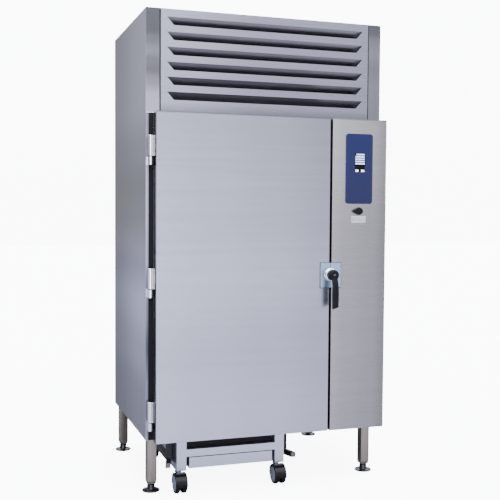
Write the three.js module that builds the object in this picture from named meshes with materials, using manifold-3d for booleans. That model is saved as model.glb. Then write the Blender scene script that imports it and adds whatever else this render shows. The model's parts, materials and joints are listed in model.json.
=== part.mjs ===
// A roll-in blast chiller: an insulated cell on four legs with one door, a column for the
// controls beside it, a louvred machine housing above, and the rack trolley docked in the cell.
// Millimetres. x runs right from the left outer side, y back from the cabinet's front plane,
// z up from the floor; the last group moves that corner so that the origin is under the middle.
import * as THREE from 'three';
import { mergeVertices } from 'three/addons/utils/BufferGeometryUtils.js';
import { ConvexGeometry } from 'three/addons/geometries/ConvexGeometry.js';
import Module from 'manifold-3d';

// Clearances and stock
const gap = 0.3;
const turningGap = 1;
const sheet = 2;
const fineSteps = 20;
const wheelSteps = 28;

// Cabinet
const cabinetWidth = 1260;
const cabinetDepth = 893;
const cabinetHeight = 2395;
const undersideHeight = 273;
const housingHeight = 506;
const frontReturn = 14;
const rearReturn = 20;
const sideWall = 80;
const rearWall = 75;
const ceilingWall = 74;
const floorWall = 67;
const frontWall = 58;

// Machine housing
const stileWidth = 71;
const stileReturn = 45;
const seam = 1.5;
const topFlange = 25;
const louvreCount = 6;
const louvrePitch = 72.7;
const louvreHeight = 39.5;
const louvreDepth = 35;
const louvreBlade = 1.5;
const louvreTaper = 34.5;
const louvreInset = 32;
const firstLouvreDrop = 38.5;
const grilleRows = 10;
const grillePitch = 34;
const grilleSlot = [470, 12];
const grilleDrop = 90;

// Door and control column
const doorInset = 33;
const columnWidth = 306;
const doorThickness = 60;
const doorRim = 2;
const gasketThickness = 25;
const gasketWidth = 36;
const gasketInset = 5;
const doorGap = 12;
const openingLap = 50;

// Hinges: a lift-off barrel on a pin, three times
const hingeHeights = [371, 1027, 1673];
const hingeAxis = [16, -37];
const barrelRadius = 14;
const pinRadius = 6;
const upperBarrel = 102;
const lowerBarrel = 42;
const pinReach = 84;
const hingePlate = 3;
const hingeArmWidth = 20;
const hingePlateWidth = 26;

// Latch on the gap between the door and the column
const latchHeight = 1086;
const latchPlateWidth = 112;
const latchPlateHeight = 127;
const latchPlateAbove = 61;
const latchPlateThickness = 3;
const roseRadius = 35;
const roseThickness = 12;
const spindleRadius = 5;
const spindleInside = 25;
const hubReach = 56;
const hubRadius = 25;
const hubRound = 12;
const neckRadius = 15;
const neckLength = 3;
const handleReach = 72;
const leverLength = 173;
const leverWidth = 29;
const leverThickness = 20;
const leverSlant = 10;
const leverOffset = 2.5;
const leverCrank = 12;
const leverElbow = 0.35;
const leverWaist = 0.6;

// Controls
const panelInset = 74;
const panelDrop = 76;
const panelWidth = 150;
const panelHeight = 361;
const panelThickness = 6;
const panelCorner = 15;
const displayWidth = 56;
const displayHeight = 98;
const displayLeft = 49;
const displayAbove = 163;
const displayDepth = 2;
const knobPlace = [75.5, 38];
const knobRadius = 20;
const knobBase = 6;
const knobPointer = [34, 9, 13];
const knobCap = 17;
const knobShaftRadius = 5;
const knobShaftLength = 22;

// Legs and levelling feet
const legSize = 50;
const legCentre = [41, 64];
const rearLegSetback = 45;
const legBottom = 39;
const footRadius = 45;
const footThickness = 6;
const collarRadius = 20;
const stemRadius = 8;
const stemReach = 60;

// Trolley
const trolleyOffset = 6;
const trolleySideSpace = 147;
const trolleyRearSpace = 75.7;
const tube = 50;
const trolleyBottom = 103;
const barBottom = 173;
const barHeight = 37;
const barThickness = 25;
const floorClearance = 5;
const sealThickness = 7.4;
const sealOverhang = 9;
const trayGap = 15;
const trayTop = 172.5;
const trayHeight = 59.5;
const trayDepth = 400;
const trayLedge = [28, 2];
const upright = 25;
const rackHeadroom = 55;
const lowestRunner = 80;
const runnerPitch = 92;
const runnerDrop = 60;
const runnerWidth = 20;
const runnerThickness = 3;

// Casters
const casterShift = [-14, -6];
const wheelRadius = 50;
const wheelWidth = 24;
const wheelSpacing = 12;
const wheelEdge = { inner: 4, outer: 6 };
const trail = 38;
const hoodGap = 0.8;
const hoodWall = 1.7;
const axleRadius = 5;
const casterStem = [5.5, 45];
const casterBoss = 15;
const rearCasterSetback = 60;

// Guide rails under the cabinet
const guide = 25;
const guideBottom = 128;
const guideStart = 120;
const guideTip = [36, -10];
const guideRearSpace = 38;
const hangerInset = [66, 80];
const hanger = [40, 4];

// Air side: evaporator behind its fan baffle
const baffleFromRight = 380;
const fanAboveFloor = 380;
const fanBelowCeiling = 385;
const evaporatorFanRadius = 195;
const fanTipGap = 12;
const fanHubRadius = 55;
const fanDepth = 44;
const bladeCount = 5;
const bladeThickness = 3;
const bladeRoot = { sunk: 6, chord: 52, pitch: 0.65 };
const bladeTip = { chord: 95, pitch: 0.36 };
const shaftRadius = 9;
const guardBar = 5;
const guardRings = [75, 140];
const motorRadius = 62;
const motorLength = 70;
const armThickness = 6;
const armWidth = 24;
const ventCount = 7;
const ventPitch = 195;
const ventHeight = 150;
const ventRise = 80;
const ventInset = [25, 15];
const coilFromBaffle = 190;
const coilThickness = 150;
const finPitch = 40;
const finGap = 30;
const finRoot = 12;
const coilEnd = 30;
const coilMargin = { side: 20, below: 40, above: 35 };
const headerPipes = [{ radius: 14, fromEdge: 40 }, { radius: 11, fromEdge: 100 }];
const headerInset = 60;

// Condensing unit in the housing
const condenserFanRadius = 165;
const condenserLeft = 150;
const condenserWidth = 560;
const condenserFront = 90;
const condenserThickness = 90;
const condenserFoot = 25;
const cowlDepth = 110;
const cowlWall = 12;
const cowlGap = 24;
const condenserHeight = 390;
const smallMotor = [45, 60];
const compressorCentre = [950, 470];
const compressorRadius = 105;
const compressorLength = 400;
const compressorLift = 40;
const compressorFlange = { radius: 119, from: -20, to: 12 };
const compressorHead = { width: 140, height: 160, from: 40, to: 30 };
const compressorPort = { radius: 26, back: 110 };
const compressorFoot = { width: 200, length: 50, inset: 40 };

// Levels and planes worked out from the sizes above
const housingBottom = cabinetHeight - housingHeight;
const doorFace = -(doorThickness + gasketThickness);
const doorBack = -gasketThickness;
const columnLeft = cabinetWidth - columnWidth;
const doorRight = columnLeft - doorGap;
const gapCentre = doorRight + doorGap / 2;
const openingRight = doorRight - openingLap;
const wallFront = sheet + gap;
const wallBack = cabinetDepth - sheet - gap;
const wallOuter = sheet + gap;
const cellBack = cabinetDepth - rearWall;
const cellRight = cabinetWidth - sideWall;
const cellTop = housingBottom - ceilingWall;
const floorFront = wallFront + frontWall;
const floorTop = undersideHeight + floorWall;
const baffleLeft = cellRight - baffleFromRight;
const panelLeft = columnLeft + panelInset;
const panelBottom = housingBottom - panelDrop - panelHeight;
const knobCentre = [panelLeft + knobPlace[0], panelBottom - knobPlace[1]];
const fanHeights = [floorTop + fanAboveFloor, cellTop - fanBelowCeiling];
const trolleyCentre = (sideWall + baffleLeft) / 2 + trolleyOffset;
const trolleyWidth = baffleLeft - sideWall - trolleySideSpace;
const trolleyBack = cellBack - trolleyRearSpace;
const armBottom = floorTop + floorClearance;
const armTop = armBottom + tube;
const rackTop = cellTop - rackHeadroom;
const runnerCount = Math.floor((rackTop - runnerDrop - armTop - lowestRunner) / runnerPitch) + 1;
const guideEnd = cellBack - guideRearSpace;
const hangerPlaces = [hangerInset[0], guideEnd - hangerInset[1]];
const trolleyLeft = trolleyCentre - trolleyWidth / 2;
const trolleyRight = trolleyCentre + trolleyWidth / 2;

const wasm = await Module();
wasm.setup();

// Rounds every corner to a thousandth, so that flush faces share one plane, welds the corners
// and drops the triangles that this closes up
function welded(geometry) {
  const places = geometry.attributes.position.array.map((value) => Math.round(value * 1000) / 1000);
  const bare = new THREE.BufferGeometry();
  bare.setAttribute('position', new THREE.BufferAttribute(places, 3));
  bare.setIndex(geometry.index);
  const whole = mergeVertices(bare, 1e-4);
  const triangles = [];
  for (let i = 0; i < whole.index.count; i += 3) {
    const triangle = [0, 1, 2].map((k) => whole.index.getX(i + k));
    if (new Set(triangle).size === 3) triangles.push(triangle);
  }
  return { places: new Float32Array(whole.attributes.position.array), triangles };
}

// Closed three.js geometry to a solid, with its faces turned outwards
function solidOf(geometry) {
  const { places, triangles } = welded(geometry);
  const corner = (vertex) => new THREE.Vector3().fromArray(places, vertex * 3);
  let volume = 0;
  for (const [a, b, c] of triangles) volume += corner(a).dot(corner(b).cross(corner(c)));
  if (volume < 0) triangles.forEach((triangle) => triangle.reverse());
  return new wasm.Manifold(new wasm.Mesh({
    numProp: 3,
    vertProperties: places,
    triVerts: new Uint32Array(triangles.flat()),
  }));
}

function geometryOf(solid) {
  const mesh = solid.asOriginal().simplify(0.01).getMesh();
  const raw = new THREE.BufferGeometry();
  raw.setAttribute('position', new THREE.BufferAttribute(mesh.vertProperties, 3));
  raw.setIndex(new THREE.BufferAttribute(mesh.triVerts, 1));
  const { places, triangles } = welded(raw);
  const geometry = new THREE.BufferGeometry();
  geometry.setAttribute('position', new THREE.BufferAttribute(places, 3));
  geometry.setIndex(triangles.flat());
  geometry.computeVertexNormals();
  return geometry;
}

const join = (...solids) => solids.flat().reduce((sum, solid) => sum.add(solid));
const cut = (solid, ...tools) => tools.flat().reduce((rest, tool) => rest.subtract(tool), solid);

// A box between two values on each axis
function block(x, y, z) {
  const size = [x, y, z].map(([a, b]) => Math.abs(b - a));
  const middle = [x, y, z].map(([a, b]) => (a + b) / 2);
  return solidOf(new THREE.BoxGeometry(...size).translate(...middle));
}

// Turns what stands along y so that it stands along x or z, and puts it on its centre line
function along(axis, geometry, [a, b]) {
  if (axis === 'x') return geometry.rotateZ(-Math.PI / 2).translate(0, a, b);
  if (axis === 'z') return geometry.rotateX(Math.PI / 2).translate(a, b, 0);
  return geometry.translate(a, 0, b);
}

// The two values at a half width from a middle
const span = (middle, half) => [middle - half, middle + half];

function rod(axis, radius, [from, to], centre, steps = fineSteps) {
  const geometry = new THREE.CylinderGeometry(radius, radius, Math.abs(to - from), steps);
  return solidOf(along(axis, geometry.translate(0, (from + to) / 2, 0), centre));
}

// A profile of [radius, height] points turned about its centre line
function turned(axis, profile, centre, steps = fineSteps) {
  const points = profile.map(([radius, height]) => new THREE.Vector2(radius, height));
  return solidOf(along(axis, new THREE.LatheGeometry(points, steps), centre));
}

// An outline of [x, y] points drawn up along z, or of [y, z] points drawn along x
function drawn(axis, points, [from, to]) {
  const shape = new THREE.Shape(points.map(([a, b]) => new THREE.Vector2(a, b)));
  const geometry = new THREE.ExtrudeGeometry(shape, { depth: to - from, bevelEnabled: false });
  geometry.translate(0, 0, from);
  if (axis === 'x') geometry.rotateX(Math.PI / 2).rotateZ(Math.PI / 2);
  return solidOf(geometry);
}

const hull = (points) => solidOf(new ConvexGeometry(points.map((p) => new THREE.Vector3(...p))));

const machine = new THREE.Group();

function piece(name, solid, material, parent = machine) {
  const mesh = new THREE.Mesh(geometryOf(solid), material);
  mesh.name = name;
  parent.add(mesh);
}

function placed(x, y, z, parent = machine) {
  const group = new THREE.Group();
  group.position.set(x, y, z);
  parent.add(group);
  return group;
}

const finish = (color, roughness, metalness) =>
  new THREE.MeshStandardMaterial({ color, roughness, metalness });
const steel = finish(0xb6b8c2, 0.38, 0.9);
const warmSteel = finish(0xb0aca8, 0.4, 0.9);
const liner = finish(0xc4c6c9, 0.45, 0.8);
const brightSteel = finish(0xdfe2ea, 0.18, 1);
const blackPlastic = finish(0x25222c, 0.45, 0);
const greyPlastic = finish(0x767c8a, 0.5, 0);
const blackRubber = finish(0x17161a, 0.8, 0);
const blueGlass = finish(0x2c4a80, 0.25, 0);
const displayGlass = finish(0x10141c, 0.15, 0);
const darkMetal = finish(0x2f3034, 0.35, 0.8);
const aluminium = finish(0xb9bcc0, 0.5, 0.9);
const paint = finish(0x3c4046, 0.55, 0.3);

// The left side's x, or its mirror image on the right
const sides = [
  { name: 'left', across: (x) => x },
  { name: 'right', across: (x) => cabinetWidth - x },
];

for (const { name, across } of sides) {
  // Side panel: one sheet with a narrow return at the front beside the door and one at the rear
  const outline = [
    [0, undersideHeight],
    [cabinetDepth, undersideHeight],
    [cabinetDepth, cabinetHeight],
    [wallFront, cabinetHeight],
    [wallFront, housingBottom - gap],
    [0, housingBottom - gap],
  ];
  const skin = drawn('x', outline, [across(0), across(sheet)].sort((a, b) => a - b));
  const front = block(
    [across(0), across(frontReturn)],
    [0, sheet],
    [undersideHeight, housingBottom - gap],
  );
  const rear = block(
    [across(0), across(rearReturn)],
    [cabinetDepth - sheet, cabinetDepth],
    [undersideHeight, cabinetHeight],
  );
  piece(`${name}_side_panel`, join(skin, front, rear), steel);

  // Stile: the front strip of the housing, folded back along its inner edge
  const top = cabinetHeight - topFlange - gap;
  piece(`${name}_stile`, join(
    block([across(0), across(stileWidth)], [0, sheet], [housingBottom + gap, cabinetHeight]),
    block(
      [across(stileWidth - sheet), across(stileWidth)],
      [0, stileReturn],
      [housingBottom + gap, top],
    ),
  ), warmSteel);
}

// One inward pressed louvre: a pocket that deepens downwards, wider at its top edge
function louvrePocket(x0, x1, top, bottom, depth, frontPlane) {
  const narrow = louvreTaper;
  return hull([
    [x0, frontPlane, top],
    [x1, frontPlane, top],
    [x0 + narrow, frontPlane, bottom],
    [x1 - narrow, frontPlane, bottom],
    [x0, 0, top],
    [x1, 0, top],
    [x0 + narrow, depth, bottom],
    [x1 - narrow, depth, bottom],
  ]);
}

{
  const left = stileWidth + seam;
  const right = cabinetWidth - stileWidth - seam;
  const bottom = housingBottom + gap;
  const flangeTop = cabinetHeight - topFlange - gap;
  const slope = Math.hypot(louvreDepth, louvreHeight);
  const blades = [];
  const pockets = [];
  for (let i = 0; i < louvreCount; i += 1) {
    const top = cabinetHeight - firstLouvreDrop - i * louvrePitch;
    const x0 = left + louvreInset;
    const x1 = right - louvreInset;
    const foot = top - louvreHeight;
    blades.push(louvrePocket(
      x0 - louvreBlade,
      x1 + louvreBlade,
      top + louvreBlade * slope / louvreDepth,
      foot + louvreBlade / 3,
      louvreDepth + louvreBlade,
      0,
    ));
    pockets.push(louvrePocket(x0, x1, top, foot, louvreDepth, -sheet));
  }
  piece('louvre_panel', cut(join(
    block([left, right], [0, sheet], [bottom, cabinetHeight]),
    block([left, left + sheet], [0, stileReturn], [bottom, flangeTop]),
    block([right - sheet, right], [0, stileReturn], [bottom, flangeTop]),
    block([left, right], [0, stileReturn], [bottom, bottom + sheet]),
    blades,
  ), pockets), steel);
}

// Top panel: a tray upside down between the front sheets and the rear
piece('top_panel', cut(
  block(
    [wallOuter, cabinetWidth - wallOuter],
    [wallFront, wallBack],
    [cabinetHeight - topFlange, cabinetHeight],
  ),
  block(
    [wallOuter + sheet, cabinetWidth - wallOuter - sheet],
    [wallFront + sheet, wallBack - sheet],
    [cabinetHeight - topFlange - sheet, cabinetHeight - sheet],
  ),
), steel);

// Rear grille: the housing's back sheet with two fields of air slots
{
  const slots = [];
  for (const side of [-1, 1]) {
    const middle = cabinetWidth / 2 + side * (grilleSlot[0] / 2 + grilleSlot[1] * 2);
    for (let i = 0; i < grilleRows; i += 1) {
      const level = cabinetHeight - grilleDrop - i * grillePitch;
      slots.push(block(
        [middle - grilleSlot[0] / 2, middle + grilleSlot[0] / 2],
        [cabinetDepth - 2 * sheet, cabinetDepth + sheet],
        [level - grilleSlot[1], level],
      ));
    }
  }
  piece('rear_grille', cut(block(
    [rearReturn + gap, cabinetWidth - rearReturn - gap],
    [cabinetDepth - sheet, cabinetDepth],
    [housingBottom + gap, cabinetHeight],
  ), slots), steel);
}

// Insulated cell: foam-cored panels that butt against one another
for (const { name, across } of sides) {
  piece(`${name}_wall`, block(
    [across(wallOuter), across(sideWall)],
    [wallFront, cellBack - gap],
    [undersideHeight, cellTop - gap],
  ), liner);
}
piece('rear_wall', drawn('z', [
  [wallOuter, cellBack],
  [cabinetWidth - wallOuter, cellBack],
  [cabinetWidth - wallOuter, wallBack],
  [cabinetWidth - rearReturn - gap, wallBack],
  [cabinetWidth - rearReturn - gap, cabinetDepth],
  [rearReturn + gap, cabinetDepth],
  [rearReturn + gap, wallBack],
  [wallOuter, wallBack],
], [undersideHeight, cellTop - gap]), liner);
piece('ceiling', join(
  block([wallOuter, cabinetWidth - wallOuter], [wallFront, wallBack], [cellTop, housingBottom]),
  block(
    [rearReturn + gap, cabinetWidth - rearReturn - gap],
    [wallBack - sheet, cabinetDepth],
    [cellTop, housingBottom],
  ),
), liner);
// The floor comes forward beside the trolley and stops short of its posts
piece('floor', join(
  block(
    [sideWall + gap, cellRight - gap],
    [floorFront, cellBack - gap],
    [undersideHeight, floorTop],
  ),
  block(
    [sideWall + gap, trolleyLeft - sealOverhang - turningGap],
    [wallFront, floorFront + sheet],
    [undersideHeight, floorTop],
  ),
  block(
    [trolleyRight + sealOverhang + turningGap, openingRight - gap],
    [wallFront, floorFront + sheet],
    [undersideHeight, floorTop],
  ),
), liner);
piece('front_wall', block(
  [openingRight, cellRight - gap],
  [wallFront, floorFront - gap],
  [undersideHeight, cellTop - gap],
), liner);

// Control column: a folded steel case beside the door, open at its back
piece('control_column', cut(
  block([columnLeft, cabinetWidth], [doorFace, -gap], [undersideHeight, housingBottom]),
  block(
    [columnLeft + sheet, cabinetWidth - sheet],
    [doorFace + sheet, gap],
    [undersideHeight + sheet, housingBottom - sheet],
  ),
  rod('y', knobShaftRadius + gap, [doorFace - sheet, doorFace + 2 * sheet], knobCentre),
), warmSteel);

// Control panel: a blue plate with round corners and a pocket for the display
{
  const x = [panelLeft, panelLeft + panelWidth];
  const z = [panelBottom, panelBottom + panelHeight];
  const back = doorFace - gap;
  const front = back - panelThickness;
  const corners = [];
  for (const cx of [x[0] + panelCorner, x[1] - panelCorner]) {
    for (const cz of [z[0] + panelCorner, z[1] - panelCorner]) {
      corners.push(rod('y', panelCorner, [front, back], [cx, cz]));
    }
  }
  const plate = join(
    block([x[0] + panelCorner, x[1] - panelCorner], [front, back], z),
    block(x, [front, back], [z[0] + panelCorner, z[1] - panelCorner]),
    corners,
  );
  const window = [x[0] + displayLeft, x[0] + displayLeft + displayWidth];
  const height = [z[0] + displayAbove, z[0] + displayAbove + displayHeight];
  const pocketBack = front + displayDepth + gap;
  piece('control_panel', cut(plate, block(window, [front - sheet, pocketBack], height)), blueGlass);
  piece('display', block(
    [window[0] + gap, window[1] - gap],
    [front, pocketBack - gap],
    [height[0] + gap, height[1] - gap],
  ), displayGlass);
}

// Switch knob: a round base and a cap drawn out to a pointer at the left, on its shaft
{
  const group = placed(knobCentre[0], doorFace - gap, knobCentre[1]);
  const [reach, width, height] = knobPointer;
  const capTurns = [...Array(16)].map((_, i) => i * Math.PI / 8);
  piece('switch_knob', join(
    turned('y', [
      [0, 0],
      [knobRadius, 0],
      [knobRadius, -knobBase + 1],
      [knobRadius - 1, -knobBase],
      [0, -knobBase],
    ], [0, 0]),
    hull([-knobBase - height, -knobBase + 1].flatMap((y) => [
      [-reach, y, -width / 2],
      [-reach, y, width / 2],
      ...capTurns.map((turn) => [knobCap * Math.cos(turn), y, knobCap * Math.sin(turn)]),
    ])),
    rod('y', knobShaftRadius, [-gap, knobShaftLength], [0, 0]),
  ), blackPlastic, group);
}

// Door: outer tray, foam-cored inner panel that fills it, and the gasket round its back
piece('door_outer_panel', cut(
  block([doorInset, doorRight], [doorFace, doorBack - doorRim], [undersideHeight, housingBottom]),
  block(
    [doorInset + sheet, doorRight - sheet],
    [doorFace + sheet, 0],
    [undersideHeight + sheet, housingBottom - sheet],
  ),
), steel);
piece('door_inner_panel', block(
  [doorInset + sheet + gap, doorRight - sheet - gap],
  [doorFace + sheet + gap, doorBack],
  [undersideHeight + sheet + gap, housingBottom - sheet - gap],
), liner);
{
  const ring = (inset, y) => block(
    [doorInset + inset, doorRight - inset],
    y,
    [undersideHeight + inset, housingBottom - inset],
  );
  piece('door_gasket', cut(
    ring(gasketInset, [doorBack + gap, wallFront - gap]),
    ring(gasketInset + gasketWidth, [doorBack - gap, wallFront + gap]),
  ), blackRubber);
}

hingeHeights.forEach((height, i) => {
  const group = placed(hingeAxis[0], hingeAxis[1], height);
  const front = -hingeAxis[1] - gap;
  const edge = doorInset - hingeAxis[0] - gap;
  // Frame leaf: the short lower barrel with the pin, on an arm back to the side panel's front
  piece(`hinge_frame_leaf_${i + 1}`, join(
    rod('z', barrelRadius, [-lowerBarrel, -gap], [0, 0]),
    rod('z', pinRadius, [-lowerBarrel / 2, pinReach], [0, 0]),
    block([-hingeArmWidth / 2, hingeArmWidth / 2], [0, front], [-lowerBarrel, -gap]),
    block(
      [-hingePlateWidth / 2, hingePlateWidth / 2],
      [front - hingePlate, front],
      [-lowerBarrel, -gap],
    ),
  ), brightSteel, group);
  // Door leaf: the long upper barrel over the pin, with a plate on the door's edge
  const doorFront = doorFace - hingeAxis[1] + hingePlate;
  const doorRear = doorBack - doorRim - hingeAxis[1];
  piece(`hinge_door_leaf_${i + 1}`, cut(
    join(
      rod('z', barrelRadius, [0, upperBarrel], [0, 0]),
      block([0, edge], [-barrelRadius / 2, barrelRadius / 2], [0, upperBarrel]),
      block([edge - hingePlate, edge], [doorFront, doorRear], [0, upperBarrel]),
    ),
    rod('z', pinRadius + gap, [-1, pinReach + gap], [0, 0]),
  ), brightSteel, group);
});

// Latch: a split plate over the gap, a rose, and a lever handle on a spindle in the gap
{
  const group = placed(gapCentre, doorFace, latchHeight);
  const plateBack = -gap;
  const plateFront = plateBack - latchPlateThickness;
  const roseBack = plateFront - gap;
  const roseFront = roseBack - roseThickness;
  const handleBack = roseFront - gap;
  const bore = (radius, y) => rod('y', radius, y, [0, 0]);
  const halves = [
    ['latch_plate_door', [-latchPlateWidth / 2, -gap]],
    ['latch_plate_column', [gap, latchPlateWidth / 2]],
  ];
  for (const [name, x] of halves) {
    piece(name, cut(
      block(x, [plateFront, plateBack], [latchPlateAbove - latchPlateHeight, latchPlateAbove]),
      bore(spindleRadius + turningGap, [plateFront - sheet, plateBack + sheet]),
    ), brightSteel, group);
  }
  piece('latch_rose', cut(
    turned('y', [
      [0, roseBack],
      [roseRadius, roseBack],
      [roseRadius, roseBack - roseThickness / 3],
      [roseRadius * 0.8, roseFront],
      [0, roseFront],
    ], [0, 0], 32),
    bore(spindleRadius + gap, [roseFront - sheet, roseBack + sheet]),
  ), brightSteel, group);
  const socket = handleBack - (hubReach + handleBack) / 2;
  piece('latch_spindle', bore(spindleRadius, [socket + gap, spindleInside]), darkMetal, group);

  const hubBack = handleBack - neckLength;
  const leverMiddle = -handleReach + leverThickness / 2;
  const section = (width, drop, setback = 0, slant = 0) => [-1, 1].flatMap((side) => [-1, 1].map((face) => [
    leverOffset + side * width / 2,
    leverMiddle + setback + face * leverThickness / 2,
    -leverLength * drop + (side + 1) / 2 * slant,
  ]));
  const root = section(leverWidth * 0.85, 0, leverCrank);
  const elbow = section(leverWidth * 0.95, leverElbow);
  const waist = section(leverWidth, leverWaist);
  const end = section(leverWidth * 0.93, 1, 0, leverSlant);
  const hub = turned('y', [
    [0, handleBack],
    [neckRadius, handleBack],
    [neckRadius, hubBack],
    [hubRadius, hubBack - hubRound / 4],
    [hubRadius, -hubReach + hubRound],
    [hubRadius * 0.85, -hubReach + hubRound / 3],
    [hubRadius * 0.55, -hubReach],
    [0, -hubReach],
  ], [0, 0], 32);
  piece('latch_handle', cut(
    join(
      hub,
      hull([...root, ...elbow]),
      hull([...elbow, ...waist]),
      hull([...waist, ...end]),
    ),
    bore(spindleRadius + gap, [socket, handleBack + sheet]),
  ), blackPlastic, group);
}

// Legs of square tube under the corners, each with a levelling foot on a threaded stem
{
  const rows = [
    ['front', legCentre[1]],
    ['rear', cabinetDepth - rearLegSetback],
  ];
  for (const [row, y] of rows) {
    for (const { name, across } of sides) {
      const group = placed(across(legCentre[0]), y, 0);
      const half = legSize / 2;
      piece(`leg_${row}_${name}`, cut(
        block([-half, half], [-half, half], [legBottom, undersideHeight - gap]),
        rod('z', stemRadius + gap, [legBottom - sheet, stemReach + legBottom + gap], [0, 0]),
      ), warmSteel, group);
      piece(`foot_${row}_${name}`, turned('z', [
        [0, 0],
        [footRadius, 0],
        [footRadius, -footThickness * 0.6],
        [collarRadius, -footThickness * 1.6],
        [collarRadius, -legBottom + gap],
        [stemRadius, -legBottom + gap],
        [stemRadius, -legBottom - stemReach],
        [0, -legBottom - stemReach],
      ].map(([radius, drop]) => [radius, -drop]), [0, 0]), darkMetal, group);
    }
  }
}

// Trolley: a C-shaped tube frame whose lower arms run under the cell's floor and whose upper
// arms carry the rack above it, with a seal plate across the slot that its posts stand in
const trolleySides = [
  { name: 'left', post: [trolleyLeft, trolleyLeft + tube], inward: 1, outer: trolleyLeft },
  { name: 'right', post: [trolleyRight - tube, trolleyRight], inward: -1, outer: trolleyRight },
];
const casterPlaces = [
  ['front', wallFront + tube / 2 + casterShift[1]],
  ['rear', trolleyBack - rearCasterSetback + casterShift[1]],
];
const casterX = (post) => (post[0] + post[1]) / 2 + casterShift[0];
const trayBottom = trayTop - trayHeight;
{
  const inside = [trolleyLeft + tube / 2, trolleyRight - tube / 2];
  const frame = [
    block(inside, [wallFront, wallFront + barThickness], [barBottom, barBottom + barHeight]),
    block(inside, [wallFront, wallFront + barThickness], [armTop - barThickness, armTop]),
    block(inside, [trolleyBack - barThickness, trolleyBack], [armTop - barThickness, armTop]),
    block(inside, [trolleyBack - tube, trolleyBack], [trolleyBottom, trolleyBottom + tube]),
  ];
  const bores = [];
  for (const { post, inward, outer } of trolleySides) {
    frame.push(block(post, [wallFront, wallFront + tube], [trolleyBottom, armTop]));
    frame.push(block(post, [wallFront, trolleyBack], [trolleyBottom, trolleyBottom + tube]));
    frame.push(block(post, [wallFront, trolleyBack], [armBottom, armTop]));
    const inner = outer + inward * tube;
    frame.push(block(
      [inner - inward * sheet, inner + inward * trayLedge[0]],
      [wallFront + tube, wallFront + tube + trayDepth],
      [trayBottom - gap - trayLedge[1], trayBottom - gap],
    ));
    for (const place of casterPlaces) {
      bores.push(rod(
        'z',
        casterStem[0] + gap,
        [trolleyBottom - sheet, trolleyBottom + casterStem[1] + gap],
        [casterX(post), place[1]],
      ));
    }
  }
  piece('trolley_frame', cut(join(frame), bores), steel);
}
{
  const y = [wallFront + tube + gap, wallFront + tube + gap + sealThickness];
  const top = armBottom - gap;
  const ends = trolleySides.map(({ outer, inward }) => block(
    [outer - inward * sealOverhang, outer + inward * tube],
    y,
    [trolleyBottom + tube + gap, top],
  ));
  const middle = block([trolleyLeft, trolleyRight], y, [trayTop + turningGap, top]);
  piece('trolley_seal_plate', join(middle, ends), blackRubber);
}
{
  const x = [trolleyLeft + tube + trayGap, trolleyRight - tube - trayGap];
  const y = [wallFront, wallFront + trayDepth];
  piece('trolley_drip_tray', cut(
    block(x, y, [trayBottom, trayTop]),
    block(
      [x[0] + sheet, x[1] - sheet],
      [y[0] + sheet, y[1] - sheet],
      [trayBottom + sheet, trayTop + sheet],
    ),
  ), steel);
}
{
  const rackFront = wallFront + tube + sealThickness + 2 * gap;
  const ends = [
    [rackFront, rackFront + upright],
    [trolleyBack - upright, trolleyBack],
  ];
  const rack = [];
  for (const end of ends) {
    rack.push(block([trolleyLeft, trolleyRight], end, [rackTop - upright, rackTop]));
  }
  for (const { inward, outer } of trolleySides) {
    const post = [outer, outer + inward * upright];
    for (const end of ends) {
      rack.push(block(post, end, [armTop + gap, rackTop]));
    }
    rack.push(block(post, [rackFront, trolleyBack], [rackTop - upright, rackTop]));
    for (let i = 0; i < runnerCount; i += 1) {
      const level = rackTop - runnerDrop - i * runnerPitch;
      rack.push(block(
        [outer + inward * (upright - runnerThickness), outer + inward * (upright + runnerWidth)],
        [rackFront + sheet, trolleyBack - sheet],
        [level - runnerThickness, level],
      ));
    }
  }
  piece('trolley_rack', join(rack), steel);
}

// Twin-wheel casters: a hood on a stem in the trolley's tube, and two wheels on one axle
for (const [row, y] of casterPlaces) {
  for (const { name, post } of trolleySides) {
    const group = placed(casterX(post), y, 0);
    const axle = [-trail, wheelRadius];
    const inner = wheelRadius + hoodGap;
    const outer = inner + hoodWall;
    const half = wheelSpacing / 2 + wheelWidth;
    const web = wheelSpacing / 2 - turningGap;
    const top = trolleyBottom - gap;
    const hoodFloor = wheelRadius - inner / 4;
    const hood = cut(
      join(
        rod('x', outer, [-half, half], axle, wheelSteps),
        rod('z', casterBoss, [wheelRadius, top], [0, 0]),
      ),
      rod('x', inner, [-half - sheet, half + sheet], axle, wheelSteps),
      block([-half - sheet, half + sheet], [-trail - 2 * outer, trail], [-outer, hoodFloor]),
    );
    const core = join(
      rod('x', inner * 0.62, [-web, web], axle),
      block(
        [-web, web],
        [-trail - web, casterBoss - hoodWall],
        [wheelRadius - web, wheelRadius + inner * 0.7],
      ),
      block([-web, web], [-trail - web, -trail + web], [wheelRadius, wheelRadius + inner + hoodWall / 2]),
      rod('x', inner + hoodWall / 2, [-web, web], axle, wheelSteps),
    );
    const rimFloor = wheelRadius * 0.8;
    const rim = cut(core, block([-half, half], [-trail - 2 * outer, trail], [-outer, rimFloor]));
    const stem = rod('z', casterStem[0], [top - hoodWall, trolleyBottom + casterStem[1]], [0, 0]);
    piece(`caster_fork_${row}_${name}`, cut(
      join(hood, rim, stem),
      rod('x', axleRadius + gap, [-half, half], axle),
    ), blackPlastic, group);

    const wheels = [-1, 1].map((side) => turned('x', [
      [0, side * wheelSpacing / 2],
      [wheelRadius - wheelEdge.inner, side * wheelSpacing / 2],
      [wheelRadius, side * (wheelSpacing / 2 + wheelEdge.inner)],
      [wheelRadius, side * (half - wheelEdge.outer)],
      [wheelRadius - wheelEdge.outer, side * half],
      [0, side * half],
    ], axle, wheelSteps));
    piece(`caster_wheels_${row}_${name}`, join(
      wheels,
      rod('x', axleRadius, [-wheelSpacing, wheelSpacing], axle),
    ), greyPlastic, group);
  }
}

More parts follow.
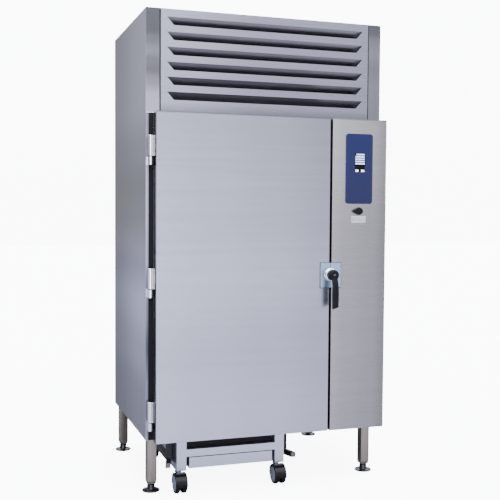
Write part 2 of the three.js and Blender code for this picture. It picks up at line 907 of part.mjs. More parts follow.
// Guide rails under the floor: square tube beside the trolley's arms, its front end splayed
for (const { name, inward, outer } of trolleySides) {
  const near = outer - inward * gap;
  const far = near - inward * guide;
  const level = [guideBottom, guideBottom + guide];
  const tipNear = near - inward * guideTip[0];
  const tipFar = far - inward * guideTip[0];
  const splay = hull(level.flatMap((z) => [
    [near, guideStart, z],
    [far, guideStart, z],
    [near, guideStart + 1, z],
    [far, guideStart + 1, z],
    [tipNear, guideTip[1], z],
    [tipFar, guideTip[1], z],
  ]));
  const hangers = hangerPlaces.map((y) => block(
    [near, near - inward * hanger[0]],
    [y, y + hanger[1]],
    [guideBottom + guide / 2, undersideHeight - gap],
  ));
  piece(`guide_rail_${name}`, join(
    block([near, far], [guideStart, guideEnd], level),
    splay,
    hangers,
  ), warmSteel);
}

// A fan about z: a hub with a blind bore at its back, and pitched blades
function fan(radius) {
  const parts = [rod('z', fanHubRadius, [0, fanDepth], [0, 0])];
  const sections = [
    { reach: fanHubRadius - bladeRoot.sunk, chord: bladeRoot.chord, pitch: bladeRoot.pitch },
    { reach: radius, chord: bladeTip.chord, pitch: bladeTip.pitch },
  ];
  for (let i = 0; i < bladeCount; i += 1) {
    const angle = i * 2 * Math.PI / bladeCount;
    const outward = new THREE.Vector3(Math.cos(angle), Math.sin(angle), 0);
    const round = new THREE.Vector3(-Math.sin(angle), Math.cos(angle), 0);
    const corners = [];
    for (const { reach, chord, pitch } of sections) {
      for (const side of [-0.5, 0.5]) {
        for (const face of [-0.5, 0.5]) {
          const turn = side * chord * Math.cos(pitch) - face * bladeThickness * Math.sin(pitch);
          const rise = side * chord * Math.sin(pitch) + face * bladeThickness * Math.cos(pitch);
          const corner = outward.clone().multiplyScalar(reach).addScaledVector(round, turn);
          corners.push([corner.x, corner.y, fanDepth / 2 + rise]);
        }
      }
    }
    parts.push(hull(corners));
  }
  return cut(join(parts), rod('z', shaftRadius + gap, [-1, fanDepth / 2 + gap], [0, 0]));
}

// Fan baffle: the sheet between the rack and the evaporator, with a guard over each fan and
// each motor held behind its fan on four arms
const fanFront = baffleLeft + 18;
const evaporatorMiddle = (floorFront + cellBack) / 2;
const motorFront = fanFront + fanDepth + turningGap;
{
  const mouth = evaporatorFanRadius + fanTipGap;
  const level = [floorTop + gap, cellTop - gap];
  const thick = [baffleLeft, baffleLeft + sheet];
  const parts = [];
  const holes = [];
  for (const height of fanHeights) {
    const centre = [evaporatorMiddle, height];
    holes.push(rod('x', mouth, [baffleLeft - sheet, baffleLeft + 2 * sheet], centre, wheelSteps));
    const guardX = [baffleLeft, baffleLeft + guardBar];
    for (const ring of guardRings) {
      parts.push(cut(
        rod('x', ring + guardBar / 2, guardX, centre),
        rod('x', ring - guardBar / 2, [guardX[0] - 1, guardX[1] + 1], centre),
      ));
    }
    const arc = mouth + guardBar;
    parts.push(block(guardX, span(centre[0], arc), span(height, guardBar / 2)));
    parts.push(block(guardX, span(centre[0], guardBar / 2), span(height, arc)));
    const armX = [motorFront + motorLength / 3, motorFront + motorLength / 3 + armThickness];
    const armEnd = mouth + 2 * armThickness;
    for (const side of [-1, 1]) {
      const end = centre[0] + side * armEnd;
      parts.push(block(armX, [centre[0], end], span(height, armWidth / 2)));
      parts.push(block(
        [baffleLeft, armX[1]],
        [end - side * armThickness, end],
        span(height, armWidth / 2),
      ));
    }
    parts.push(rod('x', motorRadius, [motorFront, motorFront + motorLength], centre));
    parts.push(rod('x', shaftRadius, [motorFront - fanDepth / 2, motorFront], centre));
  }
  const plate = cut(block(thick, [floorFront + gap, cellBack - 2 * gap], level), holes);
  const edge = [floorFront + gap, floorFront + gap + sheet];
  const frontEdge = block([baffleLeft, openingRight - gap], edge, level);
  const vents = [];
  for (let i = 0; i < ventCount; i += 1) {
    const bottom = floorTop + ventRise + i * ventPitch;
    vents.push(block(
      [baffleLeft + ventInset[0], openingRight - ventInset[1]],
      [edge[0] - sheet, edge[1] + sheet],
      [bottom, bottom + ventHeight],
    ));
  }
  piece('fan_baffle', join(plate, cut(frontEdge, vents), parts), liner);
}
['lower', 'upper'].forEach((name, i) => {
  const group = placed(motorFront - turningGap, evaporatorMiddle, fanHeights[i]);
  group.rotation.y = -Math.PI / 2;
  piece(`evaporator_fan_${name}`, fan(evaporatorFanRadius), blackPlastic, group);
});

// A finned block: gaps between its fins, open to the side that the air enters and to a root
// at its back, and closed by an end plate on either side
function finned(x, y, z, face) {
  const gaps = [];
  for (let level = z[0] + finPitch; level < z[1] - finPitch / 2; level += finPitch) {
    const band = [level - finGap / 2, level + finGap / 2];
    gaps.push(face === 'x'
      ? block([x[0] - 1, x[1] - finRoot], [y[0] + coilEnd, y[1] - coilEnd], band)
      : block([x[0] + coilEnd, x[1] - coilEnd], [y[0] - 1, y[1] - finRoot], band));
  }
  return cut(block(x, y, z), gaps);
}

{
  const left = baffleLeft + coilFromBaffle;
  const x = [left, left + coilThickness];
  const y = [floorFront + coilMargin.side, cellBack - coilMargin.side];
  const z = [floorTop + coilMargin.below, cellTop - coilMargin.above];
  const headers = headerPipes.map(({ radius, fromEdge }) => rod(
    'z',
    radius,
    [z[0] + headerInset, z[1] - headerInset],
    [x[1] + radius - sheet, y[1] - fromEdge],
    16,
  ));
  piece('evaporator_coil', join(
    finned(x, y, z, 'x'),
    block(x, [y[0], y[0] + coilEnd], [floorTop + gap, z[0] + 1]),
    block(x, [y[1] - coilEnd, y[1]], [floorTop + gap, z[0] + 1]),
    headers,
  ), aluminium);
}

// Condenser: finned block on feet, with the fan's cowl and motor at its back
const condenserBottom = housingBottom + gap + condenserFoot;
const condenserBack = condenserFront + condenserThickness;
const condenserCentre = [condenserLeft + condenserWidth / 2, condenserBottom + condenserHeight / 2];
const condenserMotor = condenserBack + cowlGap + fanDepth + turningGap;
{
  const x = [condenserLeft, condenserLeft + condenserWidth];
  const thick = [condenserFront, condenserBack];
  const z = [condenserBottom, condenserBottom + condenserHeight];
  const mouth = condenserFanRadius + fanTipGap;
  const [cx, cz] = condenserCentre;
  const shell = mouth + cowlWall;
  const cowl = cut(
    block(span(cx, shell), [condenserBack - 1, condenserBack + cowlDepth], span(cz, shell)),
    rod(
      'y',
      mouth,
      [condenserBack + cowlWall, condenserBack + cowlDepth + 1],
      condenserCentre,
      wheelSteps,
    ),
  );
  const armY = [condenserMotor + armThickness, condenserMotor + 2 * armThickness];
  const arms = [-1, 1].map((side) => block(
    span(cx, armWidth / 2),
    armY,
    [cz, cz + side * (mouth + cowlWall / 2)],
  ));
  piece('condenser_coil', join(
    finned(x, thick, z, 'y'),
    block([x[0], x[0] + coilEnd], thick, [housingBottom + gap, z[0] + 1]),
    block([x[1] - coilEnd, x[1]], thick, [housingBottom + gap, z[0] + 1]),
    cowl,
    arms,
    rod('y', smallMotor[0], [condenserMotor, condenserMotor + smallMotor[1]], condenserCentre),
    rod('y', shaftRadius, [condenserMotor - fanDepth / 2, condenserMotor], condenserCentre),
  ), aluminium);
  const group = placed(condenserCentre[0], condenserMotor - turningGap, condenserCentre[1]);
  group.rotation.x = Math.PI / 2;
  piece('condenser_fan', fan(condenserFanRadius), blackPlastic, group);
}

// Compressor: a lying motor shell with cylinder heads on top, on two rails
{
  const [cx, cy] = compressorCentre;
  const base = housingBottom + gap;
  const level = base + compressorLift + compressorRadius;
  const y = span(cy, compressorLength / 2);
  const footX = span(cx, compressorFoot.width / 2);
  const footZ = [base, base + compressorRadius];
  const { inset, length } = compressorFoot;
  piece('compressor', join(
    rod('y', compressorRadius, y, [cx, level], 32),
    rod(
      'y',
      compressorFlange.radius,
      [cy + compressorFlange.from, cy + compressorFlange.to],
      [cx, level],
      32,
    ),
    block(
      span(cx, compressorHead.width / 2),
      [y[0] + compressorHead.from, cy - compressorHead.to],
      [level, level + compressorHead.height],
    ),
    rod(
      'z',
      compressorPort.radius,
      [level, level + compressorHead.height],
      [cx, cy + compressorPort.back],
      16,
    ),
    block(footX, [y[0] + inset, y[0] + inset + length], footZ),
    block(footX, [y[1] - inset - length, y[1] - inset], footZ),
  ), paint);
}

machine.position.set(-cabinetWidth / 2, (handleReach - doorFace - cabinetDepth) / 2, 0);

const blastChiller = new THREE.Group();
blastChiller.add(machine);

export default blastChiller;
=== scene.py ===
"""A roll-in blast chiller in ground stainless steel, seen as a catalogue photograph shows it."""

import json
import math

import bpy
from mathutils import Matrix, Vector


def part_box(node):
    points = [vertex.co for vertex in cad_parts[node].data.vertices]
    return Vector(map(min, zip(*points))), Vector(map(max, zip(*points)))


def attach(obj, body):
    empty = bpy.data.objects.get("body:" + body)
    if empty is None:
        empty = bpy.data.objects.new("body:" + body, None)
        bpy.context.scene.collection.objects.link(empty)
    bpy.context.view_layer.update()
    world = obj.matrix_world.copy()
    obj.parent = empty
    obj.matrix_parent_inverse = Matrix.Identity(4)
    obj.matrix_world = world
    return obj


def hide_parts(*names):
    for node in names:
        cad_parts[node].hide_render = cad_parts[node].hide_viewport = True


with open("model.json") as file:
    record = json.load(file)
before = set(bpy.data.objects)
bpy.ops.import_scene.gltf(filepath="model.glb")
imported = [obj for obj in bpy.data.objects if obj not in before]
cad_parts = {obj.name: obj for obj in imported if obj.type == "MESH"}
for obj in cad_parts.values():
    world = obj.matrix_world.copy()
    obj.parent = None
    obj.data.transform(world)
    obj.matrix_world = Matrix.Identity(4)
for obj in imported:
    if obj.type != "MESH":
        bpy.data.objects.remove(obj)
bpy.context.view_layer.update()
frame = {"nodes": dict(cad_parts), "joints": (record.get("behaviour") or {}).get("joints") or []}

# Camera. It stands to the left of the door at chest height and looks a little to the right.
# Its place, turn and lens come from the corners of the cabinet, door and louvres in the
# photograph, which is 500 pixels square.
camera_place = (-1.4867, -4.5357, 1.4137)
camera_yaw, camera_pitch, camera_roll = (math.radians(a) for a in (18.508, -2.618, 0.383))
lens_in_pixels = 863.8
picture_pixels = 500

camera = bpy.data.objects.new("camera", bpy.data.cameras.new("camera"))
bpy.context.scene.collection.objects.link(camera)
camera.data.sensor_width = 36
camera.data.lens = camera.data.sensor_width * lens_in_pixels / picture_pixels
camera.data.clip_end = 200
camera.location = camera_place
camera.rotation_euler = (
    Matrix.Rotation(-camera_yaw, 3, "Z")
    @ Matrix.Rotation(math.pi / 2 + camera_pitch, 3, "X")
    @ Matrix.Rotation(camera_roll, 3, "Z")
).to_euler()
bpy.context.scene.camera = camera


# Studio. Pale paper on the floor runs into a white surround, as for a catalogue cut-out. What
# the steel mirrors is a strong lamp beside the camera, softer light on both sides of it, a
# dimmer room behind the machine and a broad light overhead.
def linear(hex_colour):
    """The linear colour that Blender's sockets take for an sRGB hex value."""
    parts = [int(hex_colour[i:i + 2], 16) / 255 for i in (1, 3, 5)]
    return [c / 12.92 if c <= 0.04045 else ((c + 0.055) / 1.055) ** 2.4 for c in parts] + [1.0]


def feed(owner, node, inputs):
    """Gives each of a node's inputs a value, or the output that feeds it."""
    for name, value in inputs.items():
        if isinstance(value, bpy.types.NodeSocket):
            owner.node_tree.links.new(value, node.inputs[name])
        else:
            node.inputs[name].default_value = value


def add(owner, kind, inputs=None, **settings):
    """Adds a node to a material or world, with its settings and inputs."""
    node = owner.node_tree.nodes.new("ShaderNode" + kind)
    for name, value in settings.items():
        setattr(node, name, value)
    feed(owner, node, inputs or {})
    return node


def new_finish(name):
    """A new material, its shader and the place on the piece that its patterns read."""
    finish = bpy.data.materials.new(name)
    finish.use_nodes = True
    place = add(finish, "TexCoord").outputs["Object"]
    return finish, finish.node_tree.nodes["Principled BSDF"], place


brightest = 16


def graded(owner, value, stops):
    """A grey ramp through (position, grey) stops, the first two of which are its ends. A grey
    may be up to sixteen times as bright as white."""
    ramp = add(owner, "ValToRGB", {"Fac": value})
    ramp.color_ramp.interpolation = "EASE"
    for i, (position, grey) in enumerate(stops):
        if i < 2:
            stop = ramp.color_ramp.elements[i]
            stop.position = position
        else:
            stop = ramp.color_ramp.elements.new(position)
        stop.color = [grey / brightest] * 3 + [1]
    whole = add(owner, "Math", {0: ramp.outputs["Color"], 1: brightest}, operation="MULTIPLY")
    return whole.outputs[0]


def way_round(owner, parts):
    """How far round the machine a direction or place lies: 0.5 in front, 0 and 1 behind."""
    towards_front = add(owner, "Math", {0: parts.outputs["Y"], 1: -1}, operation="MULTIPLY")
    turn = add(owner, "Math", {
        0: parts.outputs["X"],
        1: towards_front.outputs[0],
    }, operation="ARCTAN2")
    return add(owner, "MapRange", {
        "Value": turn.outputs[0],
        "From Min": -math.pi,
        "From Max": math.pi,
    }).outputs["Result"]


horizon_light = 11.0
high_light = 12.0
overhead_light = 4.0
floor_light = 8.5
lamp_colour = linear("#F6F8FF")
lamp_near, lamp_far = 3.0, 7.0
shade_front, shade_back = -1.2, 0.3
lamp_stops = [(0.0, 0.0), (1.0, 0.0), (0.425, 0.0), (0.452, 9.0), (0.472, 9.0), (0.496, 0.0)]
studio = bpy.data.worlds.new("studio")
studio.use_nodes = True
studio.node_tree.nodes.clear()
direction = add(studio, "TexCoord").outputs["Generated"]
lying = add(studio, "SeparateXYZ", {"Vector": direction})
around = graded(studio, way_round(studio, lying), [
    (0.0, 0.9),
    (1.0, 0.9),
    (0.14, 0.4),
    (0.34, 0.5),
    (0.42, 1.6),
    (0.506, 1.8),
    (0.535, 1.75),
    (0.562, 1.6),
    (0.582, 1.1),
    (0.63, 1.1),
    (0.75, 1.1),
])
beside_camera = graded(studio, way_round(studio, lying), lamp_stops)
overhead = add(studio, "MapRange", {
    "Value": lying.outputs["Z"],
    "From Min": 0.3,
    "From Max": 0.8,
    "To Min": 0.0,
    "To Max": overhead_light,
}, interpolation_type="SMOOTHSTEP").outputs["Result"]
mirrored = add(studio, "Math", {0: around, 1: overhead}, operation="ADD").outputs[0]
mirrored = add(studio, "Math", {0: mirrored, 1: beside_camera}, operation="ADD").outputs[0]
surround = add(studio, "MapRange", {
    "Value": lying.outputs["Z"],
    "From Min": 0.0,
    "From Max": 0.35,
    "To Min": horizon_light,
    "To Max": high_light,
}, interpolation_type="SMOOTHSTEP").outputs["Result"]
strength = add(studio, "Mix", {
    0: add(studio, "LightPath").outputs["Is Camera Ray"],
    2: mirrored,
    3: surround,
}).outputs[0]
glow = add(studio, "Background", {"Color": lamp_colour, "Strength": strength})
add(studio, "OutputWorld", {"Surface": glow.outputs["Background"]})
bpy.context.scene.world = studio

bpy.ops.object.select_all(action="DESELECT")
bpy.ops.mesh.primitive_plane_add(size=60)
floor_cloth = bpy.context.object
floor_cloth.name = "studio_floor"

# Matte paper scatters all light and mirrors nothing. The camera sees it nearly white. The
# steel sees a grey floor, darker behind the machine, and the lamp's light on it far in front.
paper, paper_shader, paper_place = new_finish("white studio paper, in shade behind the machine")
seen = add(paper, "LightPath").outputs["Is Camera Ray"]
paper_parts = add(paper, "SeparateXYZ", {"Vector": paper_place})
paper_depth = paper_parts.outputs["Y"]
paper_front = add(paper, "Math", {0: paper_depth, 1: -1}, operation="MULTIPLY").outputs[0]
far_off = add(paper, "MapRange", {
    "Value": paper_front,
    "From Min": lamp_near,
    "From Max": lamp_far,
}, interpolation_type="SMOOTHSTEP").outputs["Result"]
lamp_on_paper = add(paper, "Math", {
    0: graded(paper, way_round(paper, paper_parts), lamp_stops),
    1: far_off,
}, operation="MULTIPLY").outputs[0]
shaded = add(paper, "MapRange", {
    "Value": paper_depth,
    "From Min": shade_front,
    "From Max": shade_back,
}, interpolation_type="SMOOTHSTEP").outputs["Result"]
mirrored_paper = add(paper, "Mix", {
    0: shaded,
    6: linear("#A6A6AC"),
    7: linear("#67676C"),
}, data_type="RGBA").outputs[2]
paper_tint = add(paper, "Mix", {
    0: seen,
    6: mirrored_paper,
    7: linear("#F4F4F6"),
}, data_type="RGBA").outputs[2]
feed(paper, paper_shader, {
    "Base Color": paper_tint,
    "Emission Color": lamp_colour,
    "Emission Strength": add(paper, "Mix", {0: seen, 2: lamp_on_paper, 3: floor_light}).outputs[0],
    "Roughness": 0.9,
    "Specular IOR Level": 0,
})
floor_cloth.data.materials.append(paper)


# Cabinet sheets. Side panels, louvred front, stiles, top and rear are folded from 2 mm
# stainless sheet, ground along one direction before folding. The grain stretches reflections
# across it, and the folds round off to about the sheet's thickness.
fold = 0.0018

# A face counts as part of a sheet's front when it lies this near to the front plane.
front_reach = 0.002

# A 240 grit belt leaves scratches about 0.06 mm wide. They are drawn twenty times as wide,
# because finer ones don't show in the render.
scratch_width = 0.0012
scratch_length = 0.09
scratch_depth = 0.0002
scratch_sheen = 0.02
band_width = 0.03
band_length = 0.9


def ground_steel(name, light, dark, grain, roughness=0.26, painted_light=()):
    """Belt-ground stainless steel: fine scratches and faint broad bands along the grain axis. Each of the
    painted light ramps darkens or brightens it along an axis as painted shade and painted reflection,
    given as (axis, low, high, stops)."""
    steel, shader, place = new_finish(name)
    patterns = []
    for across, along, detail in (
        (scratch_width, scratch_length, 2),
        (band_width, band_length, 1),
    ):
        scale = [1 / along if axis == grain else 1 / across for axis in "XYZ"]
        stretched = add(steel, "Mapping", {"Vector": place, "Scale": scale}).outputs["Vector"]
        patterns.append(add(steel, "TexNoise", {"Vector": stretched, "Scale": 1, "Detail": detail}))
    scratches, bands = (pattern.outputs["Fac"] for pattern in patterns)
    mixed = add(steel, "Math", {0: scratches, 1: bands}, operation="ADD").outputs[0]
    shade = add(steel, "MapRange", {"Value": mixed, "From Min": 0.7, "From Max": 1.3})
    tint = add(steel, "Mix", {
        0: shade.outputs["Result"],
        6: linear(dark),
        7: linear(light),
    }, data_type="RGBA").outputs[2]
    parts = add(steel, "SeparateXYZ", {"Vector": place})
    # The ramps multiply painted shade and painted reflections into the colour.
    for axis, low, high, stops in painted_light:
        level = add(steel, "MapRange", {
            "Value": parts.outputs[axis],
            "From Min": low,
            "From Max": high,
        })
        tint = add(steel, "Mix", {
            0: 1,
            6: tint,
            7: graded(steel, level.outputs["Result"], stops),
        }, data_type="RGBA", blend_type="MULTIPLY").outputs[2]
    matte = add(steel, "MapRange", {
        "Value": scratches,
        "From Min": 0.3,
        "From Max": 0.7,
        "To Min": roughness - scratch_sheen,
        "To Max": roughness + scratch_sheen,
    })
    relief = add(steel, "Bump", {
        "Height": scratches,
        "Strength": 0.02,
        "Distance": scratch_depth,
    })
    feed(steel, shader, {
        "Base Color": tint,
        "Roughness": matte.outputs["Result"],
        "Normal": relief.outputs["Normal"],
        "Metallic": 1,
    })
    return steel


def alone(piece):
    """Makes one object the only one selected, and the active one."""
    bpy.ops.object.select_all(action="DESELECT")
    piece.select_set(True)
    bpy.context.view_layer.objects.active = piece


def eased(piece, width, steps=2, turn=40):
    """Rounds the edges of a piece that turn by more than an angle, and keeps its faces flat."""
    alone(piece)
    bevel = piece.modifiers.new("eased edges", "BEVEL")
    bevel.width = width
    bevel.segments = steps
    bevel.limit_method = "ANGLE"
    bevel.angle_limit = math.radians(turn)
    bpy.ops.object.modifier_apply(modifier=bevel.name)
    bpy.ops.object.shade_smooth_by_angle(angle=math.radians(turn))
    flat = piece.modifiers.new("flat faces", "WEIGHTED_NORMAL")
    flat.weight = 100
    flat.keep_sharp = True
    bpy.ops.object.modifier_apply(modifier=flat.name)
    return piece


def from_cad(node, width, steps=2, turn=40):
    """A copy of a CAD piece as whole flat faces, with its edges rounded."""
    piece = bpy.data.objects.new(node + "_finished", frame["nodes"][node].data.copy())
    bpy.context.scene.collection.objects.link(piece)
    alone(piece)
    bpy.ops.mesh.customdata_custom_splitnormals_clear()
    bpy.ops.object.mode_set(mode="EDIT")
    bpy.ops.mesh.select_all(action="SELECT")
    bpy.ops.mesh.remove_doubles(threshold=1e-5)
    bpy.ops.mesh.dissolve_limited(angle_limit=math.radians(0.5))
    bpy.ops.object.mode_set(mode="OBJECT")
    return eased(piece, width, steps, turn)


def fit(piece, finish, body, slot, *nodes):
    """Gives a piece its finish, the body it rides on and the CAD nodes it stands for. Slot is unused."""
    piece.data.materials.clear()
    piece.data.materials.append(finish)
    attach(piece, body)
    if nodes:
        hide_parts(*nodes)
    return piece


machine_low, machine_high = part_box("left_side_panel")

# Upright grain draws reflections out sideways, and a side panel carries painted reflections as level
# bands: a bright one a third of the way up and a dark one above the middle. Painted shade darkens it
# towards the back.
side_steel = ground_steel("ground stainless steel, cool, upright grain", "#AFB1C8", "#A6A8BF", "Z", 0.3, (
    ("Z", machine_low.z, machine_high.z, [
        (0.0, 0.7),
        (1.0, 0.8),
        (0.10, 0.76),
        (0.20, 1.2),
        (0.32, 1.75),
        (0.42, 1.0),
        (0.53, 0.40),
        (0.60, 0.32),
        (0.68, 0.48),
        (0.79, 0.85),
    ]),
    ("Y", machine_low.y, machine_high.y, [(0.0, 1.14), (1.0, 0.38)]),
))

# The flanges that are folded in at the front carry painted reflections of other parts of the room, and
# painted shade along their inner edges, where they meet the stiles.
flange_steel = ground_steel("ground stainless steel, folded flange", "#B2B3C6", "#A8A9BC", "Z", 0.3, (
    ("Z", machine_low.z, machine_high.z, [
        (0.0, 0.75),
        (1.0, 0.8),
        (0.12, 0.6),
        (0.22, 0.26),
        (0.30, 0.5),
        (0.43, 0.95),
        (0.58, 1.15),
        (0.74, 0.7),
        (0.86, 0.9),
    ]),
    ("X", machine_low.x, -machine_low.x, [
        (0.0, 1.05),
        (1.0, 1.05),
        (0.004, 0.95),
        (0.008, 0.66),
        (0.0120, 0.46),
        (0.016, 0.36),
        (0.984, 0.36),
        (0.996, 0.95),
    ]),
))
louvre_low, louvre_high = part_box("louvre_panel")

# Level grain draws reflections out upwards, so the louvred front is even from top to bottom but for
# painted shade along its foot, and painted reflection makes it a little darker on its right half.
front_steel = ground_steel("ground stainless steel, cool, level grain", "#B9BBCC", "#B2B4C5", "X", painted_light=(
    ("Z", louvre_low.z, louvre_high.z, [(0.0, 0.6), (1.0, 1.0), (0.12, 0.95)]),
    ("X", louvre_low.x, louvre_high.x, [(0.0, 0.92), (1.0, 0.70), (0.5, 0.68)]),
))

# The louvre blades slope into the dark and mirror it, so they are dull and grey.
louvre_steel = ground_steel(
    "ground stainless steel, shaded louvre blade",
    "#83818A",
    "#7A7881",
    "X",
    0.35,
)

# The stiles are narrow and a little smoother. Along their upright grain they carry painted reflections of
# the room's height as light and dark stretches, which differ between the left and the right one.
left_stile_steel = ground_steel("ground stainless steel, left stile", "#B8B8C4", "#B0B0BC", "Z", 0.22, (
    ("Z", louvre_low.z, louvre_high.z, [
        (0.0, 1.0),
        (1.0, 0.26),
        (0.15, 0.95),
        (0.30, 0.55),
        (0.41, 0.34),
        (0.50, 0.38),
        (0.59, 0.52),
        (0.70, 0.36),
        (0.79, 0.25),
    ]),
))
right_stile_steel = ground_steel("ground stainless steel, right stile", "#B8B8C4", "#B0B0BC", "Z", 0.22, (
    ("Z", louvre_low.z, louvre_high.z, [
        (0.0, 0.5),
        (1.0, 0.28),
        (0.35, 0.55),
        (0.55, 0.48),
        (0.70, 0.58),
        (0.82, 0.5),
        (0.92, 0.32),
    ]),
))
for node, finish in [
    ("left_side_panel", side_steel),
    ("right_side_panel", side_steel),
    ("louvre_panel", front_steel),
    ("top_panel", front_steel),
    ("rear_grille", front_steel),
]:
    sheet = fit(from_cad(node, fold), finish, "cabinet", "cabinet_steel", node)
    # A side panel's front faces take the flange steel, with its painted reflections and painted shade.
    if finish == side_steel:
        sheet.data.materials.append(flange_steel)
        for face in sheet.data.polygons:
            if face.normal.y < -0.5 and face.center.y < machine_low.y + front_reach:
                face.material_index = 1
    if node == "louvre_panel":
        sheet.data.materials.append(louvre_steel)
        for face in sheet.data.polygons:
            if face.normal.y > -0.95 and face.center.y > louvre_low.y + 0.0005:
                face.material_index = 1
for node, finish in (("left_stile", left_stile_steel), ("right_stile", right_stile_steel)):
    fit(from_cad(node, fold), finish, "cabinet", "column_steel", node)


# Cell. The insulated panels are foam between satin steel skins, butted and sealed at their
# corners, with the fan baffle standing in front of the evaporator. Their front edges, which
# the gasket closes on, are capped with a black plastic thermal break.
cell_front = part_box("left_wall")[0].y

# A satin lining spreads light softly over the cell and mirrors no outlines.
lining_steel = ground_steel("satin stainless lining", "#C9CBD0", "#B9BBC1", "Z", 0.45)


def clouded(owner, place, size, detail, tone, other_tone):
    """Two tones that pass into each other in clouds of one size."""
    clouds = add(owner, "TexNoise", {"Vector": place, "Scale": 1 / size, "Detail": detail})
    return add(owner, "Mix", {
        0: clouds.outputs["Fac"],
        6: linear(tone),
        7: linear(other_tone),
    }, data_type="RGBA").outputs[2]


# Extruded vinyl is black, faintly mottled and hardly shines, so it reads as a dark line.
vinyl_mottling = 0.01
thermal_break, break_shader, break_place = new_finish("black extruded vinyl")
feed(thermal_break, break_shader, {
    "Base Color": clouded(thermal_break, break_place, vinyl_mottling, 3, "#08080B", "#101015"),
    "Roughness": 0.5,
    "Specular IOR Level": 0.15,
})
for node in ("left_wall", "right_wall", "rear_wall", "ceiling", "floor", "front_wall"):
    panel = fit(from_cad(node, 0.001), lining_steel, "cabinet", "foam_cored_panel", node)
    panel.data.materials.append(thermal_break)
    for face in panel.data.polygons:
        if face.normal.y < -0.9 and face.center.y < cell_front + front_reach:
            face.material_index = 1
fit(from_cad("fan_baffle", 0.0008, turn=50), lining_steel, "cabinet", "liner_steel", "fan_baffle")


# Control column. One case of folded stainless sheet, as deep as the door and screwed to the
# cabinet beside it. It holds the control panel, the rotary switch and their gear.
column_low, column_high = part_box("control_column")

# Ground along its width, so that reflections draw out into upright bands. It is warmer than the cabinet,
# with painted reflections that make it darker towards the right edge and bright just under the top fold,
# and painted shade along the top edge.
column_steel = ground_steel("ground stainless steel, warm, level grain", "#AEACB0", "#A9A7AB", "X", 0.26, (
    ("X", column_low.x, column_high.x, [(0.0, 1.06), (1.0, 0.60), (0.25, 0.92), (0.75, 0.80)]),
    ("Z", column_low.z, column_high.z, [
        (0.0, 0.84),
        (1.0, 0.4),
        (0.2, 0.86),
        (0.55, 0.92),
        (0.995, 1.25),
    ]),
))
fit(from_cad("control_column", 0.0025, 3), column_steel, "cabinet", "column_steel", "control_column")


# Door. The outer tray is folded with tight round edges. Behind it the foam-cored inner panel
# has a sunk field, and a soft magnetic gasket is pressed into a groove round its back.
door_low, door_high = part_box("door_outer_panel")

# The brightest sheet: level grain with painted reflections in soft upright bands, and painted shade on the
# folds round its edges.
door_steel = ground_steel("ground stainless steel, door, level grain", "#C5C7D7", "#BFC1D1", "X", 0.24, (
    ("X", door_low.x, door_high.x, [
        (0.0, 0.12),
        (1.0, 0.12),
        (0.0028, 1.0),
        (0.3, 0.94),
        (0.65, 0.86),
        (0.9972, 0.74),
    ]),
    ("Z", door_low.z, door_high.z, [
        (0.0, 1.06),
        (1.0, 0.05),
        (0.30, 0.93),
        (0.5, 1.04),
        (0.7, 0.93),
        (0.995, 0.82),
    ]),
))
fit(from_cad("door_outer_panel", 0.0025, 3), door_steel, "door", "cabinet_steel", "door_outer_panel")
fit(from_cad("door_inner_panel", 0.0015), lining_steel, "door", "foam_cored_panel", "door_inner_panel")

# Moulded rubber is near black and dull, with a skin of fine pebbles 4 mm across. The same rubber makes the
# thin black strips of painted shade in gaps and of painted shadow round the latch plates.
rubber_pebbles = 0.004
seal_rubber, rubber_shader, rubber_place = new_finish("moulded black sealing rubber")
rubber_grain = add(seal_rubber, "TexNoise", {
    "Vector": rubber_place,
    "Scale": 1 / rubber_pebbles,
    "Detail": 3,
})
rubber_relief = add(seal_rubber, "Bump", {
    "Height": rubber_grain.outputs["Fac"],
    "Strength": 0.15,
    "Distance": 0.0005,
})
feed(seal_rubber, rubber_shader, {
    "Base Color": linear("#121116"),
    "Normal": rubber_relief.outputs["Normal"],
    "Roughness": 0.62,
    "Specular IOR Level": 0.25,
})
fit(from_cad("door_gasket", 0.004, 3), seal_rubber, "door", "seal_rubber", "door_gasket")


# Hinges. Three lift-off hinges. The short lower barrel of polished bar is welded to a lug on the
# cabinet, and the long upper one, with a folded lip, drops over its pin onto a black washer.
# The door's leaf is held to the door's edge by four screws; its dark colour is painted shade.
barrel_radius = 0.014
barrel_chamfer = 0.0015
barrel_gap = 0.0008
lug_half_width = 0.010
leaf_thickness = 0.003
leaf_screws = (0.022, 0.080)
screw_inset = 0.008
washer_below, washer_above = 0.0022, 0.0018

# Polished bar is nearly a mirror, with smears about 20 mm across where it is handled.
bar_smears = 0.02
bright_steel, bright_shader, bar_place = new_finish("polished stainless bar")
polish = add(bright_steel, "TexNoise", {"Vector": bar_place, "Scale": 1 / bar_smears, "Detail": 4})
smears = add(bright_steel, "MapRange", {"Value": polish.outputs["Fac"], "To Min": 0.12, "To Max": 0.22})
feed(bright_steel, bright_shader, {
    "Base Color": linear("#EEF0F6"),
    "Roughness": smears.outputs["Result"],
    "Metallic": 1,
})

# This dark steel keeps a metal sheen, in clouds about 10 mm across. On the door's leaf, web and screw
# heads its darkness is painted shade.
dark_steel_spots = 0.01
dark_steel_leaf_shade, dark_steel_shader, dark_steel_place = new_finish("black oxide on steel")
dark_steel_clouds = add(dark_steel_leaf_shade, "TexNoise", {
    "Vector": dark_steel_place,
    "Scale": 1 / dark_steel_spots,
    "Detail": 3,
})
dark_steel_wear = add(dark_steel_leaf_shade, "MapRange", {
    "Value": dark_steel_clouds.outputs["Fac"],
    "To Min": 0.35,
    "To Max": 0.55,
})
feed(dark_steel_leaf_shade, dark_steel_shader, {
    "Base Color": linear("#2C2C30"),
    "Roughness": dark_steel_wear.outputs["Result"],
    "Metallic": 1,
})


def set_down(name):
    """Names the active object and puts its place, turn and size into its mesh."""
    piece = bpy.context.object
    piece.name = name
    bpy.ops.object.transform_apply(location=True, rotation=True, scale=True)
    return piece


